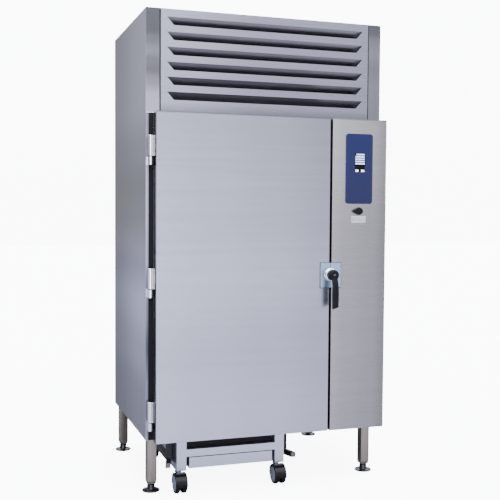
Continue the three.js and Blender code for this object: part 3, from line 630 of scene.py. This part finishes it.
def bar(name, low, high):
    """A square-edged bar between two corners, as the start of a piece."""
    bpy.ops.object.select_all(action="DESELECT")
    middle = [(a + b) / 2 for a, b in zip(low, high)]
    bpy.ops.mesh.primitive_cube_add(size=1, location=middle, scale=[b - a for a, b in zip(low, high)])
    return set_down(name)


def block(name, low, high, edge, steps=3):
    """A rectangular piece between two corners, with rounded edges."""
    return eased(bar(name, low, high), edge, steps)


def turned(name, profile, centre=(0, 0, 0), axis="Z", sides=64, turn=35):
    """A piece turned on a lathe: from one ring of (radius, height) the next is extruded."""
    bpy.ops.object.select_all(action="DESELECT")
    radius, height = profile[0]
    bpy.ops.mesh.primitive_circle_add(vertices=sides, radius=radius, fill_type="NGON")
    piece = bpy.context.object
    bpy.ops.object.mode_set(mode="EDIT")
    bpy.ops.mesh.select_all(action="SELECT")
    bpy.ops.transform.translate(value=(0, 0, height))
    for next_radius, next_height in profile[1:]:
        bpy.ops.mesh.extrude_region_move(TRANSFORM_OT_translate={"value": (0, 0, next_height - height)})
        ratio = next_radius / radius
        bpy.ops.transform.resize(value=(ratio, ratio, 1), center_override=(0, 0, next_height))
        radius, height = next_radius, next_height
    bpy.ops.mesh.select_all(action="SELECT")
    bpy.ops.mesh.normals_make_consistent(inside=False)
    bpy.ops.object.mode_set(mode="OBJECT")
    piece.rotation_euler = {"X": (0, math.pi / 2, 0), "Y": (-math.pi / 2, 0, 0), "Z": (0, 0, 0)}[axis]
    piece.location = centre
    set_down(name)
    bpy.ops.object.shade_smooth_by_angle(angle=math.radians(turn))
    return piece


def rod(name, radius, ends, centre, axis="Z", rim=0.0008, sides=48):
    """A plain turned bar between two heights on its centre line, with chamfered rims."""
    low, high = ends
    profile = [(radius - rim, low), (radius, low + rim), (radius, high - rim), (radius - rim, high)]
    return turned(name, profile, centre, axis, sides)


def joined(name, *pieces):
    """Puts several meshes into one object."""
    bpy.ops.object.select_all(action="DESELECT")
    for piece in pieces:
        piece.select_set(True)
    bpy.context.view_layer.objects.active = pieces[0]
    bpy.ops.object.join()
    pieces[0].name = name
    return pieces[0]


for i in (1, 2, 3):
    frame_low, frame_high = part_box(f"hinge_frame_leaf_{i}")
    leaf_low, leaf_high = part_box(f"hinge_door_leaf_{i}")
    axis_x, axis_y = leaf_low.x + barrel_radius, frame_low.y + barrel_radius
    axis_place = (axis_x, axis_y, 0)
    split = leaf_low.z
    lower_top, upper_foot = split - barrel_gap, split + barrel_gap
    lug = block(
        "lug",
        (axis_x - lug_half_width, axis_y, frame_low.z + 0.0005),
        (axis_x + lug_half_width, frame_high.y, lower_top),
        0.001,
    )
    lower = rod("lower", barrel_radius, (frame_low.z, lower_top), axis_place, rim=barrel_chamfer)
    fit(joined(f"hinge_lug_{i}", lower, lug), bright_steel, "cabinet", "bright_steel",
        f"hinge_frame_leaf_{i}")
    washer_ends = (split - washer_below, split + washer_above)
    washer = rod(f"hinge_washer_{i}", barrel_radius, washer_ends, axis_place)
    fit(washer, dark_steel_leaf_shade, "cabinet", "spindle_steel")
    upper = rod("upper", barrel_radius, (upper_foot, leaf_high.z), axis_place, rim=barrel_chamfer)
    lip = block(
        "lip",
        (axis_x, axis_y - barrel_radius + 0.0005, split + 0.001),
        (axis_x + barrel_radius + 0.003, axis_y - barrel_radius + 0.0045, leaf_high.z - 0.001),
        0.0012,
    )
    fit(joined(f"hinge_barrel_{i}", upper, lip), bright_steel, "door", "bright_steel",
        f"hinge_door_leaf_{i}")
    web = block(
        "web",
        (axis_x, axis_y + barrel_radius * 0.4, split + 0.001),
        (door_low.x - 0.0005, axis_y + barrel_radius * 0.8, leaf_high.z - 0.001),
        0.001,
    )
    leaf = block("leaf", (leaf_high.x - leaf_thickness, leaf_low.y, split), leaf_high, 0.0008)
    heads = [
        rod("head", 0.004, (-0.0042, -0.0028), (leaf_high.x, y, split + rise), "X", 0.0006, 24)
        for rise in leaf_screws
        for y in (leaf_low.y + screw_inset, leaf_high.y - screw_inset)
    ]
    # The leaf, web and screw heads are painted dark as painted shade.
    fit(joined(f"hinge_leaf_{i}", web, leaf, *heads), dark_steel_leaf_shade, "door", "spindle_steel")


# Seams. Black beads in the grooves between the louvre panel and the stiles are painted shade of the gaps
# there. They stand half a millimetre proud of the sheets and read as thin dark lines.
bead_proud = 0.0005
bead_depth = 0.004
for name, start, width in (
    ("left", louvre_low.x - 0.006, 0.0075),
    ("right", louvre_high.x - 0.0005, 0.005),
):
    bead = block(
        f"seam_bead_{name}",
        (start, louvre_low.y - bead_proud, louvre_low.z + 0.001),
        (start + width, louvre_low.y + bead_depth, louvre_high.z - 0.001),
        0.0002,
    )
    fit(bead, seal_rubber, "cabinet", "seal_rubber")


# Latch. A split plate of satin nickel over the gap, screwed down on each side, a turned rose on
# its left half, and a lever of black nylon that hangs on a square spindle. The lever is
# moulded in one piece with its hub, widens towards its middle and is cut off slantwise.
latch_low, latch_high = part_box("latch_handle")
joint_places = {joint["name"]: joint.get("pos_m") for joint in frame["joints"]}
spindle_x, spindle_z = joint_places["latch_turn"][0], joint_places["latch_turn"][2]
lever_width = 0.036
lever_root_share = 0.78
lever_thickness = 0.020
lever_offset = 0.0020
lever_crank = 0.012
lever_slant = 0.010
plate_screw_reach = 0.046
plate_screw_inset = 0.010
plate_shadow_thickness = 0.0002
plate_shadow_margin = 0.0030

# Satin nickel is a bluish metal with a fine cloudy grain that blurs what it mirrors.
nickel_clouds = 0.006
nickel, nickel_shader, nickel_place = new_finish("satin nickel plate")
nickel_grain = add(nickel, "TexNoise", {
    "Vector": nickel_place,
    "Scale": 1 / nickel_clouds,
    "Detail": 5,
})
nickel_tint = add(nickel, "Mix", {
    0: nickel_grain.outputs["Fac"],
    6: linear("#8FA6C8"),
    7: linear("#B9CCE6"),
}, data_type="RGBA")
nickel_relief = add(nickel, "Bump", {
    "Height": nickel_grain.outputs["Fac"],
    "Strength": 0.2,
    "Distance": 0.0006,
})
feed(nickel, nickel_shader, {
    "Base Color": nickel_tint.outputs[2],
    "Normal": nickel_relief.outputs["Normal"],
    "Metallic": 1,
    "Roughness": 0.28,
})


moulding_clouds = 0.03


def moulded(name, base, speckle, roughness, grain=0.0015, gloss=0.5):
    """Plastic or paint with a fine grain, which scatters its highlights, and faint clouds."""
    plastic, shader, place = new_finish(name)
    erosion = add(plastic, "TexNoise", {"Vector": place, "Scale": 1 / grain, "Detail": 3}).outputs["Fac"]
    relief = add(plastic, "Bump", {"Height": erosion, "Strength": 0.15, "Distance": 0.0003})
    feed(plastic, shader, {
        "Base Color": clouded(plastic, place, moulding_clouds, 2, base, speckle),
        "Normal": relief.outputs["Normal"],
        "Roughness": roughness,
        "Specular IOR Level": gloss,
    })
    return plastic


def facing_front(piece, x, y, z):
    """Turns a lathe piece so that its height points out at the front, and sets it in place."""
    piece.data.transform(Matrix.Translation((x, y, z)) @ Matrix.Rotation(math.pi / 2, 4, "X"))


# Glass-filled nylon is near black, with a dull sheen from the eroded grain of its mould.
black_nylon = moulded("black glass-filled nylon", "#09080C", "#121018", 0.45, gloss=0.1)

for node, body, side in (("latch_plate_door", "door", -1), ("latch_plate_column", "cabinet", 1)):
    low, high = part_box(node)
    plate = from_cad(node, 0.0006, turn=60)
    screw_x = spindle_x + side * plate_screw_reach
    screws = [
        rod("screw", 0.0045, (-0.0008, 0.0008), (screw_x, low.y, z), "Y", 0.0004, 24)
        for z in (low.z + plate_screw_inset, high.z - plate_screw_inset)
    ]
    fit(joined(node + "_finished", plate, *screws), nickel, body, "bright_steel", node)
    # A thin black sheet behind each plate, reaching further out on the left, is painted shadow round the
    # plate's edges.
    plate_shadow = block(
        node + "_backing",
        (low.x - 0.0036 * (side < 0), high.y, low.z - plate_shadow_margin),
        (high.x + plate_shadow_margin * (side > 0), high.y + plate_shadow_thickness, high.z + plate_shadow_margin),
        plate_shadow_thickness / 2,
    )
    fit(plate_shadow, seal_rubber, body, "seal_rubber")

door_plate_low, door_plate_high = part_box("latch_plate_door")
# A black strip along the door plate's meeting edge is painted shade of the gap between the plates.
gap_shade_strip = block(
    "plate_meeting_lip",
    (door_plate_high.x - 0.0022, door_plate_low.y - 0.0003, door_plate_low.z + 0.0002),
    (door_plate_high.x, door_plate_low.y + 0.0005, door_plate_high.z - 0.0002),
    0.0001,
)
fit(gap_shade_strip, seal_rubber, "door", "seal_rubber")

rose_low, rose_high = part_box("latch_rose")
rose_depth = rose_high.y - rose_low.y
rose = turned("latch_rose_finished", [
    (0.0345, 0.0),
    (0.035, 0.0005),
    (0.035, rose_depth * 0.30),
    (0.0343, rose_depth * 0.42),
    (0.0325, rose_depth * 0.60),
    (0.0300, rose_depth * 0.80),
    (0.0285, rose_depth * 0.95),
    (0.0270, rose_depth),
])
facing_front(rose, spindle_x, rose_high.y, spindle_z)
fit(rose, bright_steel, "door", "bright_steel", "latch_rose")

hub_back = latch_high.y
hub = turned("hub", [
    (0.0148, 0.0),
    (0.0150, 0.0004),
    (0.0150, 0.0025),
    (0.0262, 0.0035),
    (0.0278, 0.0060),
    (0.0278, 0.0290),
    (0.0270, 0.0335),
    (0.0248, 0.0370),
    (0.0208, 0.0394),
    (0.0150, 0.0404),
])
facing_front(hub, spindle_x, hub_back, spindle_z)

lever_x = spindle_x + lever_offset
root_half_width = lever_width * lever_root_share / 2
root_front = latch_low.y + lever_crank
lever = bar(
    "lever",
    (lever_x - root_half_width, root_front, spindle_z - 0.008),
    (lever_x + root_half_width, root_front + lever_thickness, spindle_z),
)
bpy.ops.object.mode_set(mode="EDIT")
bpy.ops.mesh.select_mode(type="FACE")
bpy.ops.mesh.select_all(action="DESELECT")
bpy.ops.object.mode_set(mode="OBJECT")
for face in lever.data.polygons:
    face.select = face.normal.z < -0.9
bpy.ops.object.mode_set(mode="EDIT")
# Each stretch of the lever is drawn down by a length, and out to the front, and then widened.
for length, out, widening in (
    (0.012, 0.0010, 1.02),
    (0.016, 0.0060, 1.04),
    (0.016, 0.0040, 1.03),
    (0.018, 0.0010, 1.03),
    (0.035, 0.0, 1.03),
    (0.068, 0.0, 0.94),
):
    bpy.ops.mesh.extrude_region_move(TRANSFORM_OT_translate={"value": (0, -out, -length)})
    bpy.ops.transform.resize(value=(widening, 1, 1), center_override=(lever_x, 0, 0))
bpy.ops.object.mode_set(mode="OBJECT")
for corner in lever.data.vertices:
    if corner.co.z < latch_low.z + 0.001 and corner.co.x > lever_x:
        corner.co.z += lever_slant
eased(lever, 0.0045, 4)
nub = block(
    "nub",
    (spindle_x - 0.012, hub_back - 0.034, spindle_z + 0.018),
    (spindle_x - 0.002, hub_back - 0.008, spindle_z + 0.0285),
    0.003,
)
fit(joined("latch_lever", hub, lever, nub), black_nylon, "latch_lever", "handle_plastic",
    "latch_handle")

# Turned steel is a dull dark grey beside the nylon, with streaks along the spindle.
grey_steel = ground_steel("turned steel", "#6A6A6E", "#58585E", "Y", 0.4)
screw = turned("latch_screw", [
    (0.0060, 0),
    (0.0065, 0.0005),
    (0.0065, 0.0012),
    (0.0058, 0.0018),
])
facing_front(screw, spindle_x, hub_back - 0.0398, spindle_z)
fit(screw, grey_steel, "latch_lever", "spindle_steel")
fit(from_cad("latch_spindle", 0.0006), grey_steel, "latch_lever", "spindle_steel", "latch_spindle")


# Control panel. A plate of blue glass with round corners, printed from behind, over a small
# portrait display that shows a list, a dark band and two buttons. Below it are the rotary
# switch and an aluminium plate with the switch's two positions.
panel_low, panel_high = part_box("control_panel")
glass_low, glass_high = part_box("display")
panel_corner = 0.015

# The print lies behind the glass, so its blue is deep and even, with only a soft shine on it.
blue_glass, blue_shader, print_place = new_finish("back-printed blue glass")
print_shade = add(blue_glass, "MapRange", {
    "Value": add(blue_glass, "SeparateXYZ", {"Vector": print_place}).outputs["Z"],
    "From Min": panel_low.z,
    "From Max": panel_high.z,
}).outputs["Result"]
print_tint = add(blue_glass, "Mix", {
    0: print_shade,
    6: linear("#20223F"),
    7: linear("#1D2347"),
}, data_type="RGBA")
feed(blue_glass, blue_shader, {
    "Base Color": print_tint.outputs[2],
    "Roughness": 0.35,
    "Specular IOR Level": 0.12,
})


def round_cornered(name, low, high, along, corner, steps):
    """A bar between two corners, with round corners along one of its axes."""
    piece = bar(name, low, high)
    bpy.ops.object.mode_set(mode="EDIT")
    bpy.ops.mesh.select_mode(type="EDGE")
    bpy.ops.mesh.select_all(action="DESELECT")
    bpy.ops.object.mode_set(mode="OBJECT")
    axis = "XYZ".index(along)
    for edge in piece.data.edges:
        start, end = (piece.data.vertices[v].co for v in edge.vertices)
        edge.select = abs(start[axis] - end[axis]) > 0.001
    bpy.ops.object.mode_set(mode="EDIT")
    bpy.ops.mesh.bevel(offset=corner, segments=steps)
    bpy.ops.object.mode_set(mode="OBJECT")
    return piece


panel = round_cornered("control_panel_glass", panel_low, panel_high, "Y", panel_corner, 12)
fit(eased(panel, 0.001, 2, 60), blue_glass, "cabinet", "panel_blue", "control_panel")


display_dots = 0.002


def lit(name, colour, strength):
    """A patch of the display that glows by itself a little, with dots about 2 mm across."""
    patch, shader, place = new_finish(name)
    tint = clouded(patch, place, display_dots, 1, colour, "#EAF2FC")
    feed(patch, shader, {
        "Base Color": tint,
        "Emission Color": tint,
        "Emission Strength": strength,
        "Roughness": 0.3,
    })
    return patch


# Unlit display glass is black with a faint shine. The lit rows are pale blue and the buttons
# nearly white, both as a backlight shows them.
dark_glass = moulded("dark display glass", "#040508", "#08090E", 0.3, 0.004, 0.1)
lit_row = lit("lit list row", "#B4D4F4", 0.5)
lit_button = lit("lit button", "#E8EEF6", 0.7)
glass_proud = 0.0004
glass_front = panel_low.y - glass_proud
screen = block("display_glass", (glass_low.x, glass_front, glass_low.z), glass_high, 0.0004)
fit(screen, dark_glass, "cabinet", "display_glass", "display")
row_pitch = 0.0118
row_share = 0.55
list_rows = 5
list_top = glass_high.z - 0.003
patch_front = glass_front - glass_proud
for i in range(list_rows):
    top = list_top - i * row_pitch
    inset = 0.008 if i == 0 else 0.002
    row = block(
        f"list_row_{i + 1}",
        (glass_low.x + inset, patch_front, top - row_pitch * row_share),
        (glass_high.x - 0.002, glass_front, top),
        0.00015,
    )
    fit(row, lit_row, "cabinet", "display_glass")
for i, (start, end) in enumerate(((0.002, 0.020), (0.035, 0.053))):
    button = block(
        f"screen_button_{i + 1}",
        (glass_low.x + start, patch_front, glass_low.z + 0.002),
        (glass_low.x + end, glass_front, glass_low.z + 0.013),
        0.00015,
    )
    fit(button, lit_button, "cabinet", "display_glass")

knob_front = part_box("switch_knob")[0].y
knob_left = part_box("switch_knob")[0].x
knob_x, knob_z = joint_places["switch_turn"][0], joint_places["switch_turn"][2]
column_front = column_low.y
cap_back = column_front - 0.0055
cap_radius = 0.017
beak_start = 0.3
beak_narrowing = 0.25
switch_base = turned("switch_base", [
    (0.0200, 0.0003),
    (0.0200, 0.0045),
    (0.0190, 0.0062),
    (0.0165, 0.0068),
], sides=48)
facing_front(switch_base, knob_x, column_front, knob_z)
bpy.ops.object.select_all(action="DESELECT")
bpy.ops.mesh.primitive_circle_add(
    vertices=48,
    radius=cap_radius,
    fill_type="NGON",
    location=(knob_x, cap_back, knob_z),
    rotation=(math.pi / 2, 0, 0),
)
cap = set_down("switch_cap")
beak_length = knob_x - knob_left - cap_radius * beak_start
for corner in cap.data.vertices:
    reach = (knob_x - corner.co.x) / cap_radius
    if reach > beak_start:
        beak_part = (reach - beak_start) / (1 - beak_start)
        corner.co.x = knob_x - cap_radius * beak_start - beak_length * beak_part
        corner.co.z = knob_z + (corner.co.z - knob_z) * (1 - beak_narrowing * beak_part)
bpy.ops.object.mode_set(mode="EDIT")
bpy.ops.mesh.select_all(action="SELECT")
bpy.ops.mesh.extrude_region_move(TRANSFORM_OT_translate={"value": (0, knob_front - cap_back, 0)})
bpy.ops.mesh.select_all(action="SELECT")
bpy.ops.mesh.normals_make_consistent(inside=False)
bpy.ops.object.mode_set(mode="OBJECT")
grip = eased(cap, 0.002, 3, 50)
shaft = rod("shaft", 0.005, (-0.001, 0.022), (knob_x, column_front, knob_z), "Y", 0.0005, 24)
fit(joined("rotary_switch", switch_base, grip, shaft), black_nylon, "switch", "handle_plastic",
    "switch_knob")

# Anodised aluminium is pale and silky, with level grain. The ink on it is a flat grey.
plate_aluminium = ground_steel("anodised label aluminium", "#E4E5EA", "#D0D2DA", "X", 0.4)
print_grey = moulded("grey printed ink", "#4E515C", "#5C5F6A", 0.5, 0.001)
scale_marks = 5
mark_pitch = 0.008
mark_half_width = 0.001
label = block(
    "label_plate",
    (knob_x - 0.0405, column_front - 0.0008, knob_z - 0.060),
    (knob_x + 0.0395, column_front - 0.0001, knob_z - 0.025),
    0.0003,
)
fit(label, plate_aluminium, "cabinet", "bright_steel")
for text, shift in (("0", -0.030), ("1", 0.029)):
    bpy.ops.object.select_all(action="DESELECT")
    bpy.ops.object.text_add()
    sign = bpy.context.object
    sign.data.body = text
    sign.data.size = 0.026
    sign.data.align_x = "CENTER"
    sign.data.align_y = "CENTER"
    sign.data.extrude = 0.0001
    bpy.ops.object.convert(target="MESH")
    sign.rotation_euler = (math.pi / 2, 0, 0)
    sign.location = (knob_x + shift, column_front - 0.0009, knob_z - 0.0425)
    fit(set_down(f"switch_position_{text}"), print_grey, "cabinet", "bright_steel")
for i in range(scale_marks):
    x = knob_x + (i - (scale_marks - 1) / 2) * mark_pitch
    mark = block(
        f"scale_mark_{i + 1}",
        (x - mark_half_width, column_front - 0.00105, knob_z - 0.052),
        (x + mark_half_width, column_front - 0.0007, knob_z - 0.033),
        0.0001,
    )
    fit(mark, print_grey, "cabinet", "bright_steel")


# Legs. Square stainless tube with rounded corners, welded under the cabinet and closed below
# by a tapered plug. Each stands on a black levelling foot that turns on a threaded stem.
tube_corner = 0.006
plug_height = 0.014
plug_taper = 0.16
leg_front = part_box("leg_front_left")[0].y
leg_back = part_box("leg_rear_left")[1].y

# Ground tube is warmer and duller than the sheets, and the rear legs stand in shade.
leg_steel = ground_steel("ground stainless tube, warm, upright grain", "#9D948D", "#878079", "Z", 0.3, (
    ("Y", leg_front, leg_back, [(0.0, 1.0), (1.0, 0.85)]),
))

# The foot is polished black with clear highlights, and the plug a duller dark grey plastic.
foot_black = moulded("black polished foot", "#09080C", "#111015", 0.2, 0.003, 0.4)
leg_plug = moulded("dark grey leg plug", "#4A4745", "#5A5654", 0.4)


def square_tube(name, low, high):
    """A length of square tube that stands upright."""
    tube = round_cornered(name, low, high, "Z", tube_corner, 5)
    bpy.ops.object.shade_smooth_by_angle(angle=math.radians(40))
    return tube


for row in ("front", "rear"):
    for side in ("left", "right"):
        low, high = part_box(f"leg_{row}_{side}")
        plug_top = low.z + plug_height
        leg = square_tube(f"leg_tube_{row}_{side}", (low.x, low.y, plug_top), high)
        fit(leg, leg_steel, "cabinet", "leg_steel", f"leg_{row}_{side}")
        plug = square_tube(f"leg_plug_{row}_{side}", low, (high.x, high.y, plug_top))
        for corner in plug.data.vertices:
            if corner.co.z < low.z + 0.001:
                corner.co.x += ((low.x + high.x) / 2 - corner.co.x) * plug_taper
                corner.co.y += ((low.y + high.y) / 2 - corner.co.y) * plug_taper
        fit(plug, leg_plug, "cabinet", "handle_plastic")
        foot_low, foot_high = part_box(f"foot_{row}_{side}")
        foot_centre = ((foot_low.x + foot_high.x) / 2, (foot_low.y + foot_high.y) / 2, 0)
        foot = turned(f"levelling_foot_{row}_{side}", [
            (0.0438, 0.0),
            (0.0450, 0.0012),
            (0.0450, 0.0052),
            (0.0438, 0.0068),
            (0.0290, 0.0092),
            (0.0215, 0.0112),
            (0.0198, 0.0140),
            (0.0198, 0.0300),
            (0.0185, 0.0330),
            (0.0120, 0.0345),
            (0.0080, 0.0350),
            (0.0080, 0.0560),
        ], foot_centre)
        fit(foot, foot_black, f"foot_{row}_{side}", "foot_steel", f"foot_{row}_{side}")


# Trolley. Welded square tube with rounded corners, a folded drip tray on ledges and a rack of
# angle runners. A rubber strip behind its posts closes the slot in the cell's floor.

# Ground tube, cool and pale, with a broad soft shine along its level grain.
trolley_steel = ground_steel("ground stainless tube, cool", "#CACFDF", "#C0C5D5", "X", 0.34)
fit(from_cad("trolley_frame", 0.0025, 3), trolley_steel, "cabinet", "trolley_steel", "trolley_frame")
fit(from_cad("trolley_drip_tray", 0.0009), trolley_steel, "drip_tray", "trolley_steel",
    "trolley_drip_tray")
tray_low, tray_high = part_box("trolley_drip_tray")
# A black strip along the tray's top edge is painted shadow in the gap under the bar.
tray_gap_shade = block(
    "tray_edge_bead",
    (tray_low.x + 0.001, tray_low.y - 0.0006, tray_high.z - 0.004),
    (tray_high.x - 0.001, tray_low.y + 0.001, tray_high.z - 0.0002),
    0.0003,
)
fit(tray_gap_shade, seal_rubber, "drip_tray", "seal_rubber")
fit(from_cad("trolley_rack", 0.0012), trolley_steel, "cabinet", "trolley_steel", "trolley_rack")
fit(from_cad("trolley_seal_plate", 0.0012), seal_rubber, "cabinet", "seal_rubber", "trolley_seal_plate")


# Casters. Twin wheels with black polyurethane treads and grey nylon discs on both sides turn
# on an axle through a black moulded hood, which swivels on a bright ball race that is fixed
# under the trolley's tube.
wheel_radius = 0.050
caster_half = 0.030
wheel_gap = 0.006
hood_radius = 0.0525
hood_wall = 0.0017
hood_foot = 0.0400
race_foot = 0.1005
first_low, first_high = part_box("caster_wheels_front_left")
axle = Vector(((first_low.x + first_high.x) / 2, (first_low.y + first_high.y) / 2, wheel_radius))
stem_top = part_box("trolley_frame")[0].z
swivel_x, swivel_y = joint_places["caster_front_left_swivel"][:2]

# Nylon discs are blue-grey with an eroded grain. The tread is black and dull, as polyurethane
# is once it has rolled, and the hood is a smooth moulding with a clear highlight on its crown.
disc_nylon = moulded("blue-grey nylon wheel disc", "#5E6473", "#757B8A", 0.45)
tread = moulded("black polyurethane tread", "#0A090D", "#121016", 0.35, gloss=0.12)
caster_black = moulded("black moulded caster hood", "#08070B", "#0F0D14", 0.16, gloss=0.2)


def cut_under(piece, height, closed):
    """Cuts away what is under a height, and closes the cut if asked."""
    alone(piece)
    bpy.ops.object.mode_set(mode="EDIT")
    bpy.ops.mesh.select_all(action="SELECT")
    bpy.ops.mesh.bisect(
        plane_co=(0, 0, height),
        plane_no=(0, 0, 1),
        clear_inner=True,
        use_fill=closed,
    )
    bpy.ops.object.mode_set(mode="OBJECT")


def copied(piece, name, offset):
    """A copy of a piece with a mesh of its own, moved by an offset."""
    copy = bpy.data.objects.new(name, piece.data.copy())
    copy.data.transform(Matrix.Translation(offset))
    bpy.context.scene.collection.objects.link(copy)
    return copy


wheels, discs = [], []
for side in (-1, 1):
    wheel = turned("wheel", [
        (0.0440, wheel_gap),
        (0.0470, wheel_gap + 0.0006),
        (0.0489, wheel_gap + 0.0022),
        (0.0497, wheel_gap + 0.0044),
        (wheel_radius, wheel_gap + 0.0070),
        (wheel_radius, caster_half - 0.0100),
        (0.0496, caster_half - 0.0062),
        (0.0484, caster_half - 0.0032),
        (0.0468, caster_half - 0.0013),
        (0.0450, caster_half - 0.0004),
        (0.0442, caster_half - 0.0010),
    ])
    disc = turned("disc", [
        (0.0440, caster_half - 0.0020),
        (0.0432, caster_half - 0.0012),
        (0.0400, caster_half - 0.0012),
        (0.0300, caster_half - 0.0003),
        (0.0110, caster_half),
        (0.0100, caster_half - 0.0012),
        (0.0085, caster_half - 0.0002),
        (0.0070, caster_half),
    ])
    for piece, group in ((wheel, wheels), (disc, discs)):
        piece.data.transform(Matrix.Translation(axle) @ Matrix.Rotation(side * math.pi / 2, 4, "Y"))
        group.append(piece)
wheels = joined("wheels", *wheels)
discs = joined("discs", *discs)

bpy.ops.object.select_all(action="DESELECT")
bpy.ops.mesh.primitive_cylinder_add(
    vertices=96,
    radius=hood_radius,
    depth=2 * caster_half,
    end_fill_type="NOTHING",
    location=axle,
    rotation=(0, math.pi / 2, 0),
)
hood = set_down("hood")
cut_under(hood, hood_foot, closed=False)
wall = hood.modifiers.new("wall", "SOLIDIFY")
wall.thickness = hood_wall
wall.offset = -1
bpy.ops.object.modifier_apply(modifier=wall.name)
eased(hood, 0.0008, 2)
rib = rod("rib", 0.0515, (-0.005, 0.005), axle, "X", 0.0008, 96)
cut_under(rib, hood_foot, closed=True)
boss = turned("boss", [
    (0.0150, 0.060),
    (0.0150, race_foot - 0.005),
    (0.0165, race_foot - 0.002),
    (0.0165, race_foot),
], (swivel_x, swivel_y, 0))
hood = joined("hood", hood, rib, boss)
race = turned("race", [
    (0.0170, race_foot),
    (0.0180, race_foot + 0.0005),
    (0.0180, stem_top - 0.0010),
    (0.0172, stem_top - 0.0003),
], (swivel_x, swivel_y, 0))

# One caster stands now at the front left. Its parts are copied to all four places.
for row in ("front", "rear"):
    for side in ("left", "right"):
        key = f"{row}_{side}"
        low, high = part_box(f"caster_wheels_{key}")
        offset = Vector(((low.x + high.x) / 2 - axle.x, (low.y + high.y) / 2 - axle.y, 0))
        for piece, name, finish, body, slot, nodes in (
            (wheels, "treads", tread, "wheels", "caster_tyre", [f"caster_wheels_{key}"]),
            (discs, "wheel_discs", disc_nylon, "wheels", "caster_plastic", []),
            (hood, "caster_hood", caster_black, "caster", "caster_plastic", [f"caster_fork_{key}"]),
            (race, "ball_race", bright_steel, "caster", "bright_steel", []),
        ):
            fit(copied(piece, f"{name}_{key}", offset), finish, f"{body}_{key}", slot, *nodes)
for piece in (wheels, discs, hood, race):
    bpy.data.objects.remove(piece)


# Guide rails. Square tube under the floor on sheet hangers, splayed at the front to catch the
# trolley, each front end closed by a pressed plastic cap.
rail_cap = 0.012

# Dull steel with streaks along the rail, its dark colour painted shade under the floor.
shaded_rail_steel = ground_steel("dull rolled steel", "#3E3D42", "#333237", "Y", 0.4)
for side in ("left", "right"):
    rail = fit(from_cad(f"guide_rail_{side}", 0.0018, 2), shaded_rail_steel, "cabinet", "leg_steel",
               f"guide_rail_{side}")
    # The front end faces take the cap's plastic, and the rest of the rail keeps its painted shade.
    rail.data.materials.append(leg_plug)
    rail_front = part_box(f"guide_rail_{side}")[0].y
    for face in rail.data.polygons:
        if face.normal.y < -0.5 and face.center.y < rail_front + rail_cap:
            face.material_index = 1


# Air side and condensing unit. Black moulded fans of five twisted blades on their motors, the
# evaporator and the condenser with their stacks of aluminium fins, and the compressor.

# Fan plastic is black with a dull eroded grain, and the compressor's enamel a smoother grey.
fan_black = moulded("black moulded fan", "#101014", "#1B1B20", 0.45)
compressor_paint = moulded("dark grey enamel", "#2A2D32", "#3A3E44", 0.35, 0.003)

# Mill aluminium is pale and dull, and tarnished in clouds about 50 mm across.
fin_clouding = 0.05
fin_aluminium, fin_shader, fin_place = new_finish("dull mill aluminium")
feed(fin_aluminium, fin_shader, {
    "Base Color": clouded(fin_aluminium, fin_place, fin_clouding, 4, "#A9ACB0", "#C9CBCE"),
    "Metallic": 1,
    "Roughness": 0.5,
})

for node in ("evaporator_coil", "condenser_coil"):
    fit(from_cad(node, 0.0008), fin_aluminium, "cabinet", "coil_aluminium", node)
fit(from_cad("compressor", 0.004, 3), compressor_paint, "cabinet", "compressor_paint", "compressor")
for node, body in (
    ("evaporator_fan_lower", "fan_lower"),
    ("evaporator_fan_upper", "fan_upper"),
    ("condenser_fan", "fan_condenser"),
):
    fit(from_cad(node, 0.0008, 2, 50), fan_black, body, "fan_plastic", node)
